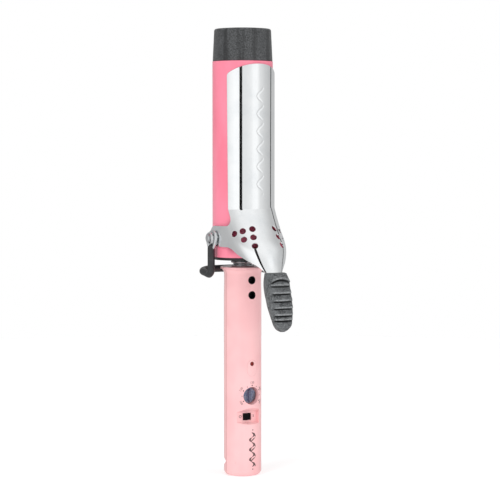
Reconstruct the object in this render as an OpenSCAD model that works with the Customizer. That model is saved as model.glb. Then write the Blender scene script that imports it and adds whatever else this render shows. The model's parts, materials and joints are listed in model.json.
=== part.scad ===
// Curling iron with a sprung spoon clip, a thumb lever and a swing-out stand.
// The handle stands on the XY plane, the barrel points up along +Z, and -Y is the lever side.
// The origin is the mouth of the cord bore, in the middle of the handle's end face.

/* [Handle] */
// Length of the handle from its end face to the rim
handle_length = 139.3; // [134:0.1:140.5]
// Radius of the straight part of the handle
handle_radius = 12.5; // [12.4:0.1:12.6]
// Radius of the flared rim under the barrel
rim_radius = 14.75; // [13.8:0.05:14.8]

/* [Barrel] */
// Outer radius of the heated barrel
barrel_radius = 20; // [19.8:0.05:20]
// Length of the bare barrel between the base ring and the tip cap
barrel_length = 129; // [124:0.5:134]
// Height of the tip cap
cap_length = 22.1; // [18:0.1:26]
// Height of the gap between the handle and the base ring
neck_gap = 4.8; // [4.6:0.1:5]

/* [Clip] */
// Height of the hinge axis above the bottom edge of the barrel
hinge_rise = 12.8; // [12.5:0.1:13]
// Gap between the barrel and the closed spoon
clip_gap = 0.3; // [0.3:0.05:0.4]
// Thickness of the clip's sheet metal
sheet = 0.9; // [0.8:0.05:1]
// Reach of the spoon above the hinge axis
spoon_reach = 114.3; // [110:0.1:115]
// Radius of the round vents in the clip
vent_radius = 2.1; // [1.8:0.1:2.3]
// Radius of the hinge pins
pin_radius = 1.6; // [1.4:0.05:1.7]

/* [Stand] */
// Radius of the stand's coated tube
sleeve_radius = 2.4; // [2.2:0.05:2.45]
// Radius of the stand's bare wire
wire_radius = 1.1; // [0.9:0.05:1.1]

/* [Controls] */
// Height of the temperature dial's centre
dial_height = 53.9; // [53.2:0.1:55]
// Radius of the dial knob
knob_radius = 5.2; // [4.8:0.05:5.4]
// Height of the slide switch's centre
switch_height = 39.7; // [39:0.1:40.2]
// Sideways offset of the slide switch from the middle of the handle
switch_offset = -1.6; // [-2:0.1:-1]
// Height of the indicator lamp
lamp_height = 75.2; // [74:0.1:80]

/* [Hidden] */
$fn = 96;
eps = 0.01;

// Handle
wall = 2.2;
cavity_radius = handle_radius - wall;
end_fillet = 3.3;
rim_thickness = 1.4;
flare_start = handle_length - 5.2;
roof_height = handle_length - 3;
gland_radius = 4.9;
cord_bore_radius = 3.3;
gland_length = 9;
bulkhead_height = 113;
// Height, then the radius of the handle's tapered top
taper_start = 120;
top_radius = handle_radius - 0.15;

// Neck
tube_radius = 5.6;
tube_bore = 4.2;
tube_bottom = 112;
neck_screw_heights = [130.7, 120.8];
neck_screw_seat = 8.4;
neck_hole_radius = 2.45;
ring_bottom = handle_length + neck_gap;
barrel_bottom = ring_bottom + 1.8;
barrel_top = barrel_bottom + barrel_length;
barrel_wall = 1.5;
barrel_bore = barrel_radius - barrel_wall;
plug_top = barrel_bottom + 5.1;
total_height = barrel_top + cap_length;
hinge_height = barrel_bottom + hinge_rise;

// Screws that join the two shells, near the end of the handle
shell_screw_x = 9.6;
shell_screw_height = 9.2;
counterbore_radius = 2.9;
counterbore_floor = 0.8;

// Clip sheet: heights are measured from the hinge axis
clip_outer = barrel_radius + clip_gap + sheet;
ear_side = barrel_radius + 0.4 + sheet;
crease = 19.5;
spoon_corner = spoon_reach - 6.7;
corner_reach = 22.1;
arch_radius = (corner_reach * corner_reach + 6.7 * 6.7) / (2 * 6.7);
spoon_low_angle = 57.5;
spoon_high_angle = 59.7;
ear_radius = 6.9;
ear_middle_y = -0.1;
ear_middle_h = 1.2;
fillet_radius = 6.5;
fillet_h = 14.7;
// Height, then how far the sheet stands in front of the barrel's axis
reach_points = [
    [-46, 49.8], [-38, 48], [-30, 45.6], [-23.5, 43], [-18.5, 41.1], [-14, 40.1], [-9, 38.8],
    [-5, 37.1], [-2, 35.1], [3, 31.2], [7.5, 28.2], [12, 25.3], [crease, clip_outer], [27, clip_outer]
];
// Height, then the radius of the sheet's rounded front
bend_points = [
    [-46, 12], [-30, 10], [-24, 9.5], [-20, 12], [-15, 15.5], [-10, 18], [-6, 19.5], [-2.4, 20],
    [2, 20.5], [7, 20.6], [12, 20.8], [crease, clip_outer], [27, clip_outer]
];
// Height, then half the sheet's width measured along it, from the lever to the bottom of the ears
edge_points = [
    [-46, 4.4], [-30, 5], [-24, 5.2], [-21.5, 6.6], [-19.1, 9.2], [-16.4, 12.8], [-14.2, 17.7],
    [-12, 21.8], [-9.9, 25.7], [-6.8, 29.8], [-5.6, 33]
];
// Height above the hinge axis and distance along the sheet of each vent on one side
vents = [[3.5, 22.2], [5.3, 15.5], [6.7, 8.6], [0, 16.7], [1.5, 9.8], [-3.9, 10.8]];
columns = 18;
bore_clearance = 0.06;
bush_radius = 2.6;

// Thumb grip: height, then inner and outer distance from the axis and half the width
grip_inner_points = [
    [-58.9, 49.4], [-57.5, 48.1], [-55, 47.6], [-51, 46], [-46.9, 44.1], [-42.8, 42.1], [-38.7, 40.4],
    [-34.6, 38.4], [-30.5, 37.2], [-26.4, 36.8], [-21.2, 37]
];
grip_outer_points = [
    [-58.9, 51.8], [-57.5, 52.9], [-55, 54], [-51, 54.2], [-46.9, 53.9], [-42.8, 53.3], [-38.7, 52.8],
    [-34.6, 51.8], [-30.5, 51], [-26.4, 50.2], [-21.2, 47]
];
grip_half_points = [
    [-58.9, 1.8], [-57.5, 4], [-55, 6], [-51, 7], [-46.9, 7.7], [-42.8, 8.2], [-38.7, 8.3],
    [-34.6, 8.3], [-30.5, 8.2], [-26.4, 7.9], [-21.2, 6.8]
];
rib_pitch = 4.6;
rib_depth = 0.8;
rib_count = 6;
rib_first = -28.4;

// Stand
leg_x = ear_side + 0.3 + sleeve_radius;
leg_top = -6.6;
foot_bend = 3.5;
foot_low = -24;
bar_height = -21.6;
bar_y = rim_radius + sleeve_radius + 0.65;
bar_corner = 9;
eye_radius = 3.5;
eye_inner_x = ear_side + 0.5;
eye_outer_x = eye_inner_x + 4 * wire_radius;
washer_thickness = 0.3;
head_x = eye_outer_x + 0.1 + washer_thickness + 0.05;

// Return spring between the barrel and the lever's throat
spring_y = -23;
spring_height = hinge_height - 7.5;
spring_radius = 2.4;
bracket_half = 6.1;
bracket_sheet = 0.8;
spring_pin_radius = 1.1;

// Controls
recess_radius = 5.9;
recess_floor = 6.6;
knob_back = 6.9;
knob_face = 8.3;
shaft_radius = 1.9;
lamp_radius = 1.4;
plate_half = 3.4;
plate_depth = 0.45;
switch_floor = 8.4;
switch_half = 7.6;
slot_width = 6.4;
slot_height = 4.8;
slider_width = 4;
slider_height = 4.3;
slider_middle = switch_offset - slot_width / 2 + 0.15 + slider_width / 2;
board_y = -0.4;

// Smooth curve through the points of a table, by its first column
function span(table, x, i = 0) =
    (i >= len(table) - 2 || x <= table[i + 1][0]) ? i : span(table, x, i + 1);
function slope(table, k) =
    let (a = max(k - 1, 0), b = min(k + 1, len(table) - 1))
    (table[b][1] - table[a][1]) / (table[b][0] - table[a][0]);
function smooth(table, x) =
    let (
        i = span(table, x),
        w = table[i + 1][0] - table[i][0],
        t = (x - table[i][0]) / w
    )
    (2 * t * t * t - 3 * t * t + 1) * table[i][1]
    + (t * t * t - 2 * t * t + t) * w * slope(table, i)
    + (3 * t * t - 2 * t * t * t) * table[i + 1][1]
    + (t * t * t - t * t) * w * slope(table, i + 1);

// Points of an arc, as [x, y] pairs
function arc(cx, cy, r, from, to, steps = 10) =
    [for (i = [0:steps]) let (a = from + (to - from) * i / steps) [cx + r * cos(a), cy + r * sin(a)]];

// Section of the clip at height h: a rounded front, then a flank that runs back to the ear
function flank_y(h) = -min(8, max(0, 8 - h));
function section(h) =
    let (
        front = h < crease ? smooth(reach_points, h) : clip_outer,
        bend = h < crease ? smooth(bend_points, h) : clip_outer,
        centre = front - bend,
        side_y = flank_y(h),
        distance = norm([ear_side, centre + side_y]),
        turn = atan2(centre + side_y, ear_side) - acos(min(1, bend / distance)),
        tangent = [bend * cos(turn), bend * sin(turn) - centre]
    )
    [bend, centre, turn, tangent, [ear_side, side_y]];
function front_length(c) = c[0] * (c[2] + 90) * PI / 180;
function flank_length(c) = norm(c[4] - c[3]);
// Distance along the sheet from the middle to the line y = 0 at the ear's middle
function ear_reach(h) =
    let (c = section(h)) front_length(c) + flank_length(c) + ear_middle_y - c[4][1];
// Point on the sheet at height h and distance s from the middle, moved inwards by depth
function sheet_point(h, s, depth = 0) =
    let (
        c = section(h),
        side = s < 0 ? -1 : 1,
        d = abs(s),
        front = front_length(c),
        flank = flank_length(c),
        angle = h >= crease || d < front ? d / c[0] * 180 / PI - 90 : (d < front + flank ? c[2] : 0),
        normal = [cos(angle), sin(angle)],
        along = (d - front) / max(flank, eps),
        base = h >= crease || d < front ? c[0] * normal - [0, c[1]]
            : d < front + flank ? c[3] + (c[4] - c[3]) * along
            : c[4] + [0, d - front - flank],
        p = base - depth * normal
    )
    [side * p[0], p[1], hinge_height + h];

// Rows of the clip as [height, half width along the sheet], from the tip to the end of the lever
function spoon_angle(h) =
    spoon_low_angle + (spoon_high_angle - spoon_low_angle) * (h - crease) / (spoon_corner - crease);
arch_rows = [
    for (i = [0:6])
    let (s = corner_reach * sin(4 + i * 86 / 6))
    [spoon_reach - arch_radius + sqrt(arch_radius * arch_radius - s * s), s]
];
blade_rows = [
    for (h = [spoon_corner - 2, 92, 77, 62, 47, 33, 24, crease, 17])
    [h, clip_outer * spoon_angle(h) * PI / 180]
];
fillet_s = clip_outer * spoon_low_angle * PI / 180 + fillet_radius;
fillet_rows = [
    for (a = [0:20:80]) [fillet_h - fillet_radius * sin(a), fillet_s - fillet_radius * cos(a)]
];
ear_rows = [
    for (a = [15, 35, 60, 90, 120, 145, 165])
    let (h = ear_middle_h + ear_radius * cos(a))
    [h, ear_reach(h) + ear_radius * sin(a)]
];
throat_rows = [for (h = [-5.6, -6.8, -8.3, -9.9, -12, -14.2, -16.4, -19.1, -21.5, -24, -30, -38, -46])
    [h, smooth(edge_points, h)]];
clip_rows = concat(arch_rows, blade_rows, fillet_rows, ear_rows, throat_rows);

// Closed surface through equal rings of points: rings[i][j], joined round each ring and capped
module loft(rings) {
    rows = len(rings);
    sides = len(rings[0]);
    points = [for (r = rings) for (p = r) p];
    walls = [
        for (i = [0:rows - 2]) for (j = [0:sides - 1])
        let (a = i * sides + j, b = i * sides + (j + 1) % sides)
        each [[a, b, a + sides], [b, b + sides, a + sides]]
    ];
    first = [[for (j = [sides - 1:-1:0]) j]];
    last = [[for (j = [0:sides - 1]) (rows - 1) * sides + j]];
    polyhedron(points, concat(walls, first, last), convexity = 8);
}

// Closed sheet: the outer face, the inner face and the edge all round
module sheet_body(rows) {
    ring = [
        for (r = rows) [
            for (j = [0:columns]) sheet_point(r[0], r[1] * (2 * j / columns - 1)),
            for (j = [columns:-1:0]) sheet_point(r[0], r[1] * (2 * j / columns - 1), sheet)
        ]
    ];
    loft_sheet(ring);
}

// As loft, but the end rings are folded strips, so their caps are strips of triangles
module loft_sheet(rings) {
    rows = len(rings);
    sides = len(rings[0]);
    points = [for (r = rings) for (p = r) p];
    walls = [
        for (i = [0:rows - 2]) for (j = [0:sides - 1])
        let (a = i * sides + j, b = i * sides + (j + 1) % sides)
        each [[a, a + sides, b], [b, a + sides, b + sides]]
    ];
    half = sides / 2;
    low = (rows - 1) * sides;
    first = [for (j = [0:half - 2]) each [[j, j + 1, sides - 1 - j], [j + 1, sides - 2 - j, sides - 1 - j]]];
    last = [
        for (j = [0:half - 2]) each [
            [low + j, low + sides - 1 - j, low + j + 1],
            [low + j + 1, low + sides - 1 - j, low + sides - 2 - j]
        ]
    ];
    polyhedron(points, concat(walls, first, last), convexity = 8);
}

module along_x(x, y, z, r, length) translate([x, y, z]) rotate([0, 90, 0]) cylinder(r = r, h = length);
// A cylinder whose axis points to the front, from y = -near to y = -far
module to_front(x, z, r, near, far)
    translate([x, -near, z]) rotate([90, 0, 0]) cylinder(r = r, h = far - near);
module to_back(x, z, r, near, far)
    translate([x, near, z]) rotate([-90, 0, 0]) cylinder(r = r, h = far - near);
module both_sides() for (m = [0, 1]) mirror([m, 0, 0]) children();
module ring_of(r_in, r_out, low, high) translate([0, 0, low]) difference() {
    cylinder(r = r_out, h = high - low);
    translate([0, 0, -1]) cylinder(r = r_in, h = high - low + 2);
}

// Half of the hollow handle, on the +Y side
module half_shell() {
    profile = concat(
        [[gland_radius, 0]],
        arc(handle_radius - end_fillet, end_fillet, end_fillet, -90, 0),
        [[handle_radius, taper_start], [top_radius, taper_start + 8]],
        arc(top_radius + 5.2, flare_start, 5.2, 180, 129, 8),
        [[rim_radius, handle_length - rim_thickness], [rim_radius, handle_length - 0.3]],
        [[rim_radius - 0.3, handle_length], [tube_radius + 0.05, handle_length]],
        [[tube_radius + 0.05, roof_height], [cavity_radius, roof_height]],
        [[cavity_radius, bulkhead_height + 2.5], [tube_radius + 0.05, bulkhead_height + 2.5]],
        [[tube_radius + 0.05, bulkhead_height], [cavity_radius, bulkhead_height]],
        [[cavity_radius, gland_length + 2], [gland_radius + 2, gland_length + 0.5]],
        [[gland_radius, gland_length - 0.5]]
    );
    rotate_extrude(angle = 180) polygon(profile);
}

// Shield outline of the indicator plate, in X and Z: round top, straight sides, pointed foot
module shield(grow = 0) {
    half = plate_half + grow;
    top = lamp_height - 0.9;
    side = lamp_height - 4.6;
    foot = lamp_height - 8.3 - grow;
    belly = (pow(side - foot, 2) + pow(half, 2)) / (2 * half);
    sweep = atan2(side - foot, belly - half);
    polygon(concat(
        arc(0, top, half, 0, 180, 24),
        arc(belly - half, side, belly, 180, 180 + sweep, 10),
        arc(half - belly, side, belly, -sweep, 0, 10)
    ));
}
module shield_prism(grow = 0)
    translate([0, -5, 0]) rotate([90, 0, 0]) linear_extrude(12) shield(grow);

module handle_front_shell() color([0.98, 0.79, 0.79]) difference() {
    union() {
        mirror([0, 1, 0]) half_shell();
        // Bosses behind the neck screws
        intersection() {
            for (z = neck_screw_heights) to_front(0, z, 3.8, tube_radius, 11.8);
            cylinder(r = top_radius - 0.5, h = handle_length);
        }
        // Cup behind the dial
        intersection() {
            to_front(0, dial_height, recess_radius + 1.3, recess_floor - 1.2, 12);
            cylinder(r = handle_radius - 0.5, h = handle_length);
        }
        // Walls round the switch pocket
        intersection() {
            translate([switch_offset - switch_half - 1.3, -12, switch_height - 6.2])
                cube([2 * switch_half + 2.6, 12 - switch_floor + 1.3, 13]);
            cylinder(r = handle_radius - 0.5, h = handle_length);
        }
        // Bosses that take the shell screws
        intersection() {
            both_sides() to_front(shell_screw_x - 0.6, shell_screw_height, 3, 0, 8.5);
            cylinder(r = handle_radius - 0.5, h = handle_length);
        }
    }
    translate([0, 0, -1]) cylinder(r = gland_radius, h = gland_length + 1);
    translate([0, 0, bulkhead_height]) cylinder(r = tube_radius + 0.05, h = handle_length);
    for (z = neck_screw_heights) {
        to_front(0, z, neck_hole_radius, neck_screw_seat, 20);
        to_front(0, z, 1.35, 5, 20);
    }
    // Lamp hole and the shallow seat of its plate
    to_front(0, lamp_height, lamp_radius + 0.1, 5, 20);
    intersection() {
        shield_prism(0.05);
        ring_of(handle_radius - plate_depth, 20, 50, 90);
    }
    // Dial recess and shaft hole
    to_front(0, dial_height, recess_radius, recess_floor, 20);
    to_front(0, dial_height, shaft_radius + 0.4, 3, 20);
    // Switch pocket, with a sloping roof and floor, and its slot
    translate([switch_offset - switch_half, 0, switch_height]) rotate([90, 0, 90])
        linear_extrude(2 * switch_half)
        polygon([[-switch_floor, -3.6], [-switch_floor, 3.2], [-16, 8.4], [-16, -5.8]]);
    // Thumb notch in the pocket's lower wall, under the slider
    to_front(slider_middle, switch_height - 2.7, 2.1, switch_floor, switch_floor + 1.4);
    translate([switch_offset - slot_width / 2, -16, switch_height - slot_height / 2])
        cube([slot_width, 12, slot_height]);
    both_sides() to_front(shell_screw_x - 0.6, shell_screw_height, 1.1, -1, 7.5);
    // Seats for the spigots of the back shell's bosses
    both_sides() to_front(shell_screw_x - 0.6, shell_screw_height, 2.15, -1, 1.5);
}

module handle_back_shell() color([0.97, 0.77, 0.77]) difference() {
    union() {
        half_shell();
        intersection() {
            both_sides() to_back(shell_screw_x - 0.6, shell_screw_height, 3.4, 0, 12);
            cylinder(r = handle_radius - 0.3, h = handle_length);
        }
        both_sides() to_front(shell_screw_x - 0.6, shell_screw_height, 2.1, -1, 1.5);
    }
    translate([0, 0, -1]) cylinder(r = gland_radius, h = gland_length + 1);
    translate([0, 0, bulkhead_height]) cylinder(r = tube_radius + 0.05, h = handle_length);
    both_sides() to_back(shell_screw_x, shell_screw_height, counterbore_radius, counterbore_floor, 20);
    both_sides() to_back(shell_screw_x - 0.6, shell_screw_height, 1.35, -3, 20);
}

module shell_screws() color([0.5, 0.5, 0.52]) both_sides() {
    x = shell_screw_x - 0.6;
    difference() {
        to_back(x, shell_screw_height, 2.2, counterbore_floor, counterbore_floor + 1.4);
        cross_slot(x, counterbore_floor + 0.7, shell_screw_height, 1.2);
    }
    to_front(x, shell_screw_height, 1.05, -counterbore_floor - eps, 6.5);
}
module cross_slot(x, y, z, half) for (a = [0, 90])
    translate([x, y, z]) rotate([0, a, 0]) translate([-half, 0, -0.25]) cube([2 * half, 2, 0.5]);

module neck_screws() color([0.16, 0.16, 0.17]) for (z = neck_screw_heights) {
    difference() {
        to_front(0, z, 2.3, neck_screw_seat, neck_screw_seat + 1.4);
        mirror([0, 1, 0]) cross_slot(0, neck_screw_seat + 0.7, z, 1.3);
    }
    to_front(0, z, 1.2, 3.4, neck_screw_seat + eps);
}

module cord_gland() color([0.14, 0.14, 0.15]) rotate_extrude() difference() {
    polygon([
        [0, 0.4], [0, gland_length - 0.2], [gland_radius - 0.6, gland_length - 0.2],
        [gland_radius - 0.05, gland_length - 0.8], [gland_radius - 0.05, 0.4], [4.5, 0], [0, 0]
    ]);
    translate([-1, -1]) square([cord_bore_radius + 1, gland_length + 2]);
}

module indicator_plate() color([1, 0.83, 0.83]) difference() {
    intersection() {
        shield_prism();
        ring_of(handle_radius - plate_depth + 0.02, handle_radius + 0.05, 50, 90);
    }
    to_front(0, lamp_height, lamp_radius + 0.1, 5, 20);
}

module indicator_lamp() color([0.5, 0.08, 0.06]) {
    to_front(0, lamp_height, lamp_radius, 7, 12.3);
    to_front(0, lamp_height, 1.9, 6, 7.01);
    for (x = [-0.7, 0.7]) to_front(x, lamp_height, 0.25, -board_y + 0.85, 6.05);
}

module control_board() color([0.1, 0.35, 0.2]) difference() {
    translate([-7.5, board_y - 0.8, 33]) cube([15, 1.6, 66]);
    for (x = [-5.5, 5.5]) for (z = [35.5, 96.5]) to_back(x, z, 1.1, -5, 5);
}

module dial_potentiometer() color([0.2, 0.2, 0.22]) difference() {
    union() {
        to_front(0, dial_height, 6.2, -board_y + 0.85, recess_floor - 1.3);
        translate([-4, -3, dial_height - 9]) cube([8, 1.7, 4]);
    }
    to_front(0, dial_height, shaft_radius + bore_clearance, 2, 9);
}

module power_switch() color([0.18, 0.18, 0.2]) {
    translate([switch_offset - 6, -5.9, switch_height - 4.2]) cube([12, 5.9 + board_y - 0.85, 8.4]);
    for (x = [-4, 0, 4]) translate([switch_offset + x - 0.4, board_y + 0.85, switch_height - 1])
        cube([0.8, 2.2, 2]);
}

module mains_terminal() color([0.85, 0.85, 0.8]) difference() {
    translate([-6, -4, 19]) cube([12, 8, 11]);
    for (x = [-3, 3]) {
        translate([x, 0, 18]) cylinder(r = 1.3, h = 13);
        to_front(x, 24.5, 1.5, 0, 6);
    }
}

module heater_leads() color([0.85, 0.85, 0.82]) {
    for (x = [-2.2, 2.2]) translate([x, 0, 99]) cylinder(r = 0.8, h = (x < 0 ? 180 : 158) - 99);
    translate([2.2, 0, 171]) cylinder(r = 0.8, h = 9);
    translate([0, 2.2, 99]) cylinder(r = 0.5, h = 67);
}

module neck_tube() color([0.75, 0.76, 0.78]) difference() {
    union() {
        translate([0, 0, tube_bottom]) cylinder(r = tube_radius, h = plug_top + 1 - tube_bottom);
        translate([0, 0, plug_top]) cylinder(r = 9, h = 1);
    }
    translate([0, 0, tube_bottom - 1]) cylinder(r = tube_bore, h = 60);
    for (z = neck_screw_heights) to_front(0, z, 1.25, 2, 9);
}

// Three washers in the gap between the handle and the base ring
module neck_washers() color([0.82, 0.83, 0.84]) {
    heights = [0.05, 1.35, 2.5, neck_gap - 0.9];
    radii = [7.6, 6.2, 7.5];
    translate([0, 0, handle_length]) difference() {
        for (i = [0:2]) rotate_extrude() {
            translate([tube_radius, heights[i]])
                square([radii[i] - tube_radius - 0.35, heights[i + 1] - heights[i] - 0.05]);
            translate([radii[i] - 0.35, (heights[i] + heights[i + 1]) / 2 - 0.025])
                circle(r = (heights[i + 1] - heights[i] - 0.05) / 2);
        }
        translate([0, 0, -1]) cylinder(r = tube_radius + 0.05, h = neck_gap + 2);
    }
}

module base_ring() color([0.13, 0.13, 0.14]) difference() {
    union() {
        translate([0, 0, ring_bottom]) cylinder(r = barrel_radius - 0.5, h = 1.8);
        translate([0, 0, ring_bottom]) cylinder(r = barrel_bore - 0.05, h = plug_top - ring_bottom);
        translate([0, 0, handle_length + neck_gap - 0.85]) cylinder(r = 6.6, h = 2);
    }
    translate([0, 0, ring_bottom - 5]) cylinder(r = tube_radius + 0.05, h = 20);
}

module barrel() color([0.99, 0.56, 0.66]) difference() {
    ring_of(barrel_bore, barrel_radius, barrel_bottom, barrel_top);
    along_x(-30, 0, hinge_height, pin_radius + 0.05, 60);
}

// Two hollow D-shaped aluminium channels that press the heater against the barrel's wall
module heat_spreaders() color([0.78, 0.79, 0.8]) for (side = [0, 180]) rotate([0, 0, side])
    translate([0, 0, hinge_height + 16]) linear_extrude(88) difference() {
        spreader_section(barrel_bore - 0.05, 2.6);
        spreader_section(barrel_bore - 1.9, 4.4);
    }
module spreader_section(r, flat) intersection() {
    circle(r = r);
    translate([-30, flat]) square([60, 30]);
}

module heater_element() color([0.93, 0.92, 0.88])
    translate([-7, -2.5, hinge_height + 21.5]) cube([14, 5, 72]);

module temperature_sensor() color([0.75, 0.55, 0.25]) {
    translate([0, 2.2, 166]) cylinder(r = 1.1, h = 4);
    translate([0, 2.2, 170]) sphere(r = 1.1);
}

module thermal_fuse() color([0.85, 0.85, 0.86]) {
    translate([2.2, 0, 158]) cylinder(r = 1.9, h = 11.5);
    translate([2.2, 0, 169.5]) cylinder(r1 = 1.9, r2 = 0.8, h = 1.5);
}

module tip_disc() color([0.8, 0.75, 0.62])
    ring_of(2, barrel_bore - 0.2, barrel_top - 9.6, barrel_top - 8.1);

module tip_cap() color([0.22, 0.23, 0.24]) rotate_extrude() {
    lip = barrel_radius - 0.2;
    crown = barrel_radius - 1.15;
    top = total_height;
    polygon(concat(
        [[barrel_bore - 1.6, barrel_top - 8], [barrel_bore - 0.05, barrel_top - 8]],
        [[barrel_bore - 0.05, barrel_top], [lip - 0.3, barrel_top], [lip, barrel_top + 0.4]],
        arc(crown - 1.4, top - 2, 1.4, 2, 80, 8),
        [for (r = [14:-2:0]) [r, top - 0.6 * pow(r / crown, 2)]],
        [[0, top - 2.6], [crown - 2.6, top - 3.4], [barrel_bore - 1.6, barrel_top]]
    ));
}

module hinge_pins() color([0.8, 0.81, 0.82]) both_sides() {
    along_x(17, 0, hinge_height, pin_radius, head_x - 17 + eps);
    along_x(16.6, 0, hinge_height, 2.5, 1.5);
    along_x(head_x, 0, hinge_height, 2.3, 0.8);
}

module hinge_washers() color([0.7, 0.71, 0.72]) both_sides() difference() {
    along_x(eye_outer_x + 0.1, 0, hinge_height, 3, washer_thickness);
    along_x(eye_outer_x - 1, 0, hinge_height, pin_radius + 0.04, 4);
}

// Bracket on the front of the barrel, which carries the spring's pin between two cheeks
module spring_bracket() color([0.7, 0.71, 0.72]) difference() {
    union() {
        for (x = [-bracket_half, bracket_half - bracket_sheet]) {
            along_x(x, spring_y, spring_height, 2.3, bracket_sheet);
            translate([x, spring_y, spring_height - 2.3]) cube([bracket_sheet, 8, 4.6]);
        }
        translate([-bracket_half, -20.8, spring_height - 4.5]) cube([2 * bracket_half, 6, 2.2]);
    }
    cylinder(r = barrel_radius + 0.02, h = total_height);
    along_x(-20, spring_y, spring_height, spring_pin_radius + 0.04, 40);
}

module spring_pin() color([0.8, 0.81, 0.82]) {
    along_x(-bracket_half - 0.8, spring_y, spring_height, spring_pin_radius, 2 * bracket_half + 1.6);
    both_sides() along_x(bracket_half + 0.05, spring_y, spring_height, 1.8, 0.8);
}

// Double torsion spring: its coils round the pin, a hairpin on the barrel, two legs in the throat
module return_spring() color([0.55, 0.42, 0.3]) {
    along = bracket_half - bracket_sheet - 0.2;
    difference() {
        along_x(-along, spring_y, spring_height, spring_radius, 2 * along);
        along_x(-20, spring_y, spring_height, spring_pin_radius + 0.15, 40);
    }
    both_sides() translate([0.75, spring_y + 1.6, spring_height]) cylinder(r = 0.5, h = 9);
    along_x(-0.75, spring_y + 1.6, spring_height + 8.7, 0.5, 1.5);
    both_sides() translate([along - 0.7, spring_y, spring_height + 1.8])
        rotate([92, 0, 0]) cylinder(r = 0.5, h = 11.6);
}

module clip_spoon() color([0.86, 0.87, 0.88]) difference() {
    sheet_body(clip_rows);
    along_x(-30, 0, hinge_height, bush_radius + 0.02, 60);
    both_sides() for (v = vents) {
        p = sheet_point(v[0], v[1]);
        q = sheet_point(v[0], v[1], 1);
        translate(p) rotate([0, 90, atan2(p[1] - q[1], p[0] - q[0])])
            translate([0, 0, -2.5]) cylinder(r = vent_radius, h = 4.5);
    }
}

module ear_bushes() color([0.8, 0.81, 0.82]) both_sides() difference() {
    along_x(ear_side - sheet - 0.05, 0, hinge_height, bush_radius, sheet + 0.2);
    along_x(15, 0, hinge_height, pin_radius + bore_clearance, 12);
}

// Rounded block with ribs across its outer face
module thumb_grip() color([0.27, 0.28, 0.29]) {
    ribs = [
        for (i = [0:rib_count]) for (part = [0, 0.3, 0.55, 0.8])
        [rib_first - rib_pitch * (i + part), part == 0 || part == 0.8 ? 0 : rib_depth]
    ];
    rows = concat(
        [[-21.2, 0], [-23, 0.4], [-25.5, 0.9], [-27, 0.9]], ribs, [[-58.9, 0]]
    );
    loft([
        for (row = rows) if (row[0] > -59)
        let (
            inner = smooth(grip_inner_points, row[0]),
            outer = smooth(grip_outer_points, row[0]),
            half = smooth(grip_half_points, row[0]),
            thick = (outer - inner) / 2
        )
        [
            for (k = [0:19])
            let (
                a = k * 18,
                cx = sign(cos(a)) * pow(abs(cos(a)), 0.7),
                cy = sign(sin(a)) * pow(abs(sin(a)), 0.7),
                sunk = cy > 0.6 ? rib_depth - row[1] : 0
            )
            [half * cx, -(inner + outer) / 2 - (thick - sunk) * cy, hinge_height + row[0]]
        ]
    ]);
}

// Bare wire: a two-turn eye on each pin and two strands that run down into the sleeve
module stand_wires() color([0.82, 0.83, 0.84]) both_sides() {
    translate([eye_inner_x, 0, hinge_height]) rotate([0, 90, 0]) rotate_extrude() difference() {
        union() {
            for (turn = [1, 3]) translate([eye_radius, turn * wire_radius]) circle(r = wire_radius);
            square([eye_radius + 0.4, 4 * wire_radius]);
        }
        translate([-1, -1]) square([1 + pin_radius + bore_clearance, 20]);
    }
    for (side = [-1, 1])
        translate([leg_x + 0.6 * side, 1.2 * side, hinge_height + leg_top])
        cylinder(r = wire_radius - 0.05, h = -leg_top - eye_radius + 0.4);
}

// Middle line of the coated tube, from the left leg's end round to the right leg's
half_path = concat(
    [[leg_x, 0, leg_top], [leg_x, 0, leg_top - 7], [leg_x, 0, foot_low + foot_bend]],
    [for (a = [22.5:22.5:90]) [leg_x, foot_bend * (1 - cos(a)), foot_low + foot_bend * (1 - sin(a))]],
    [for (a = [0:15:90]) [
        leg_x - bar_corner * (1 - cos(a)),
        bar_y - bar_corner * (1 - sin(a)),
        foot_low + (bar_height - foot_low) * (0.4 + 0.6 * a / 90)
    ]],
    [[7, bar_y, bar_height]]
);
full_path = concat(
    half_path, [for (i = [len(half_path) - 1:-1:0]) [-half_path[i][0], half_path[i][1], half_path[i][2]]]
);
function unit(v) = v / norm(v);
module stand_sleeve() color([0.2, 0.2, 0.21]) {
    count = len(full_path);
    loft([
        for (i = [0:count - 1])
        let (
            ahead = unit(full_path[min(i + 1, count - 1)] - full_path[max(i - 1, 0)]),
            u = unit(cross(ahead, [1, 1, 1])),
            v = cross(ahead, u),
            middle = full_path[i] + [0, 0, hinge_height]
        )
        [for (k = [0:13]) middle + sleeve_radius * (cos(k * 360 / 14) * u + sin(k * 360 / 14) * v)]
    ]);
}

module dial_knob() color([0.5, 0.54, 0.62]) difference() {
    union() {
        translate([0, -knob_back, dial_height]) rotate([90, 0, 0])
            cylinder(r = knob_radius, h = knob_face - knob_back);
        intersection() {
            to_front(0, dial_height, knob_radius - 0.5, knob_face - eps, knob_face + 1.2);
            translate([-1.1, -20, dial_height - 10]) cube([2.2, 20, 20]);
        }
    }
    to_front(0, dial_height, shaft_radius - 0.5, 5, knob_face - 0.6);
}

module dial_shaft() color([0.8, 0.8, 0.8]) {
    to_front(0, dial_height, shaft_radius, 2.2, knob_back - 0.02);
    to_front(0, dial_height, shaft_radius - 0.52, knob_back - 0.1, knob_face - 0.7);
}

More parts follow.
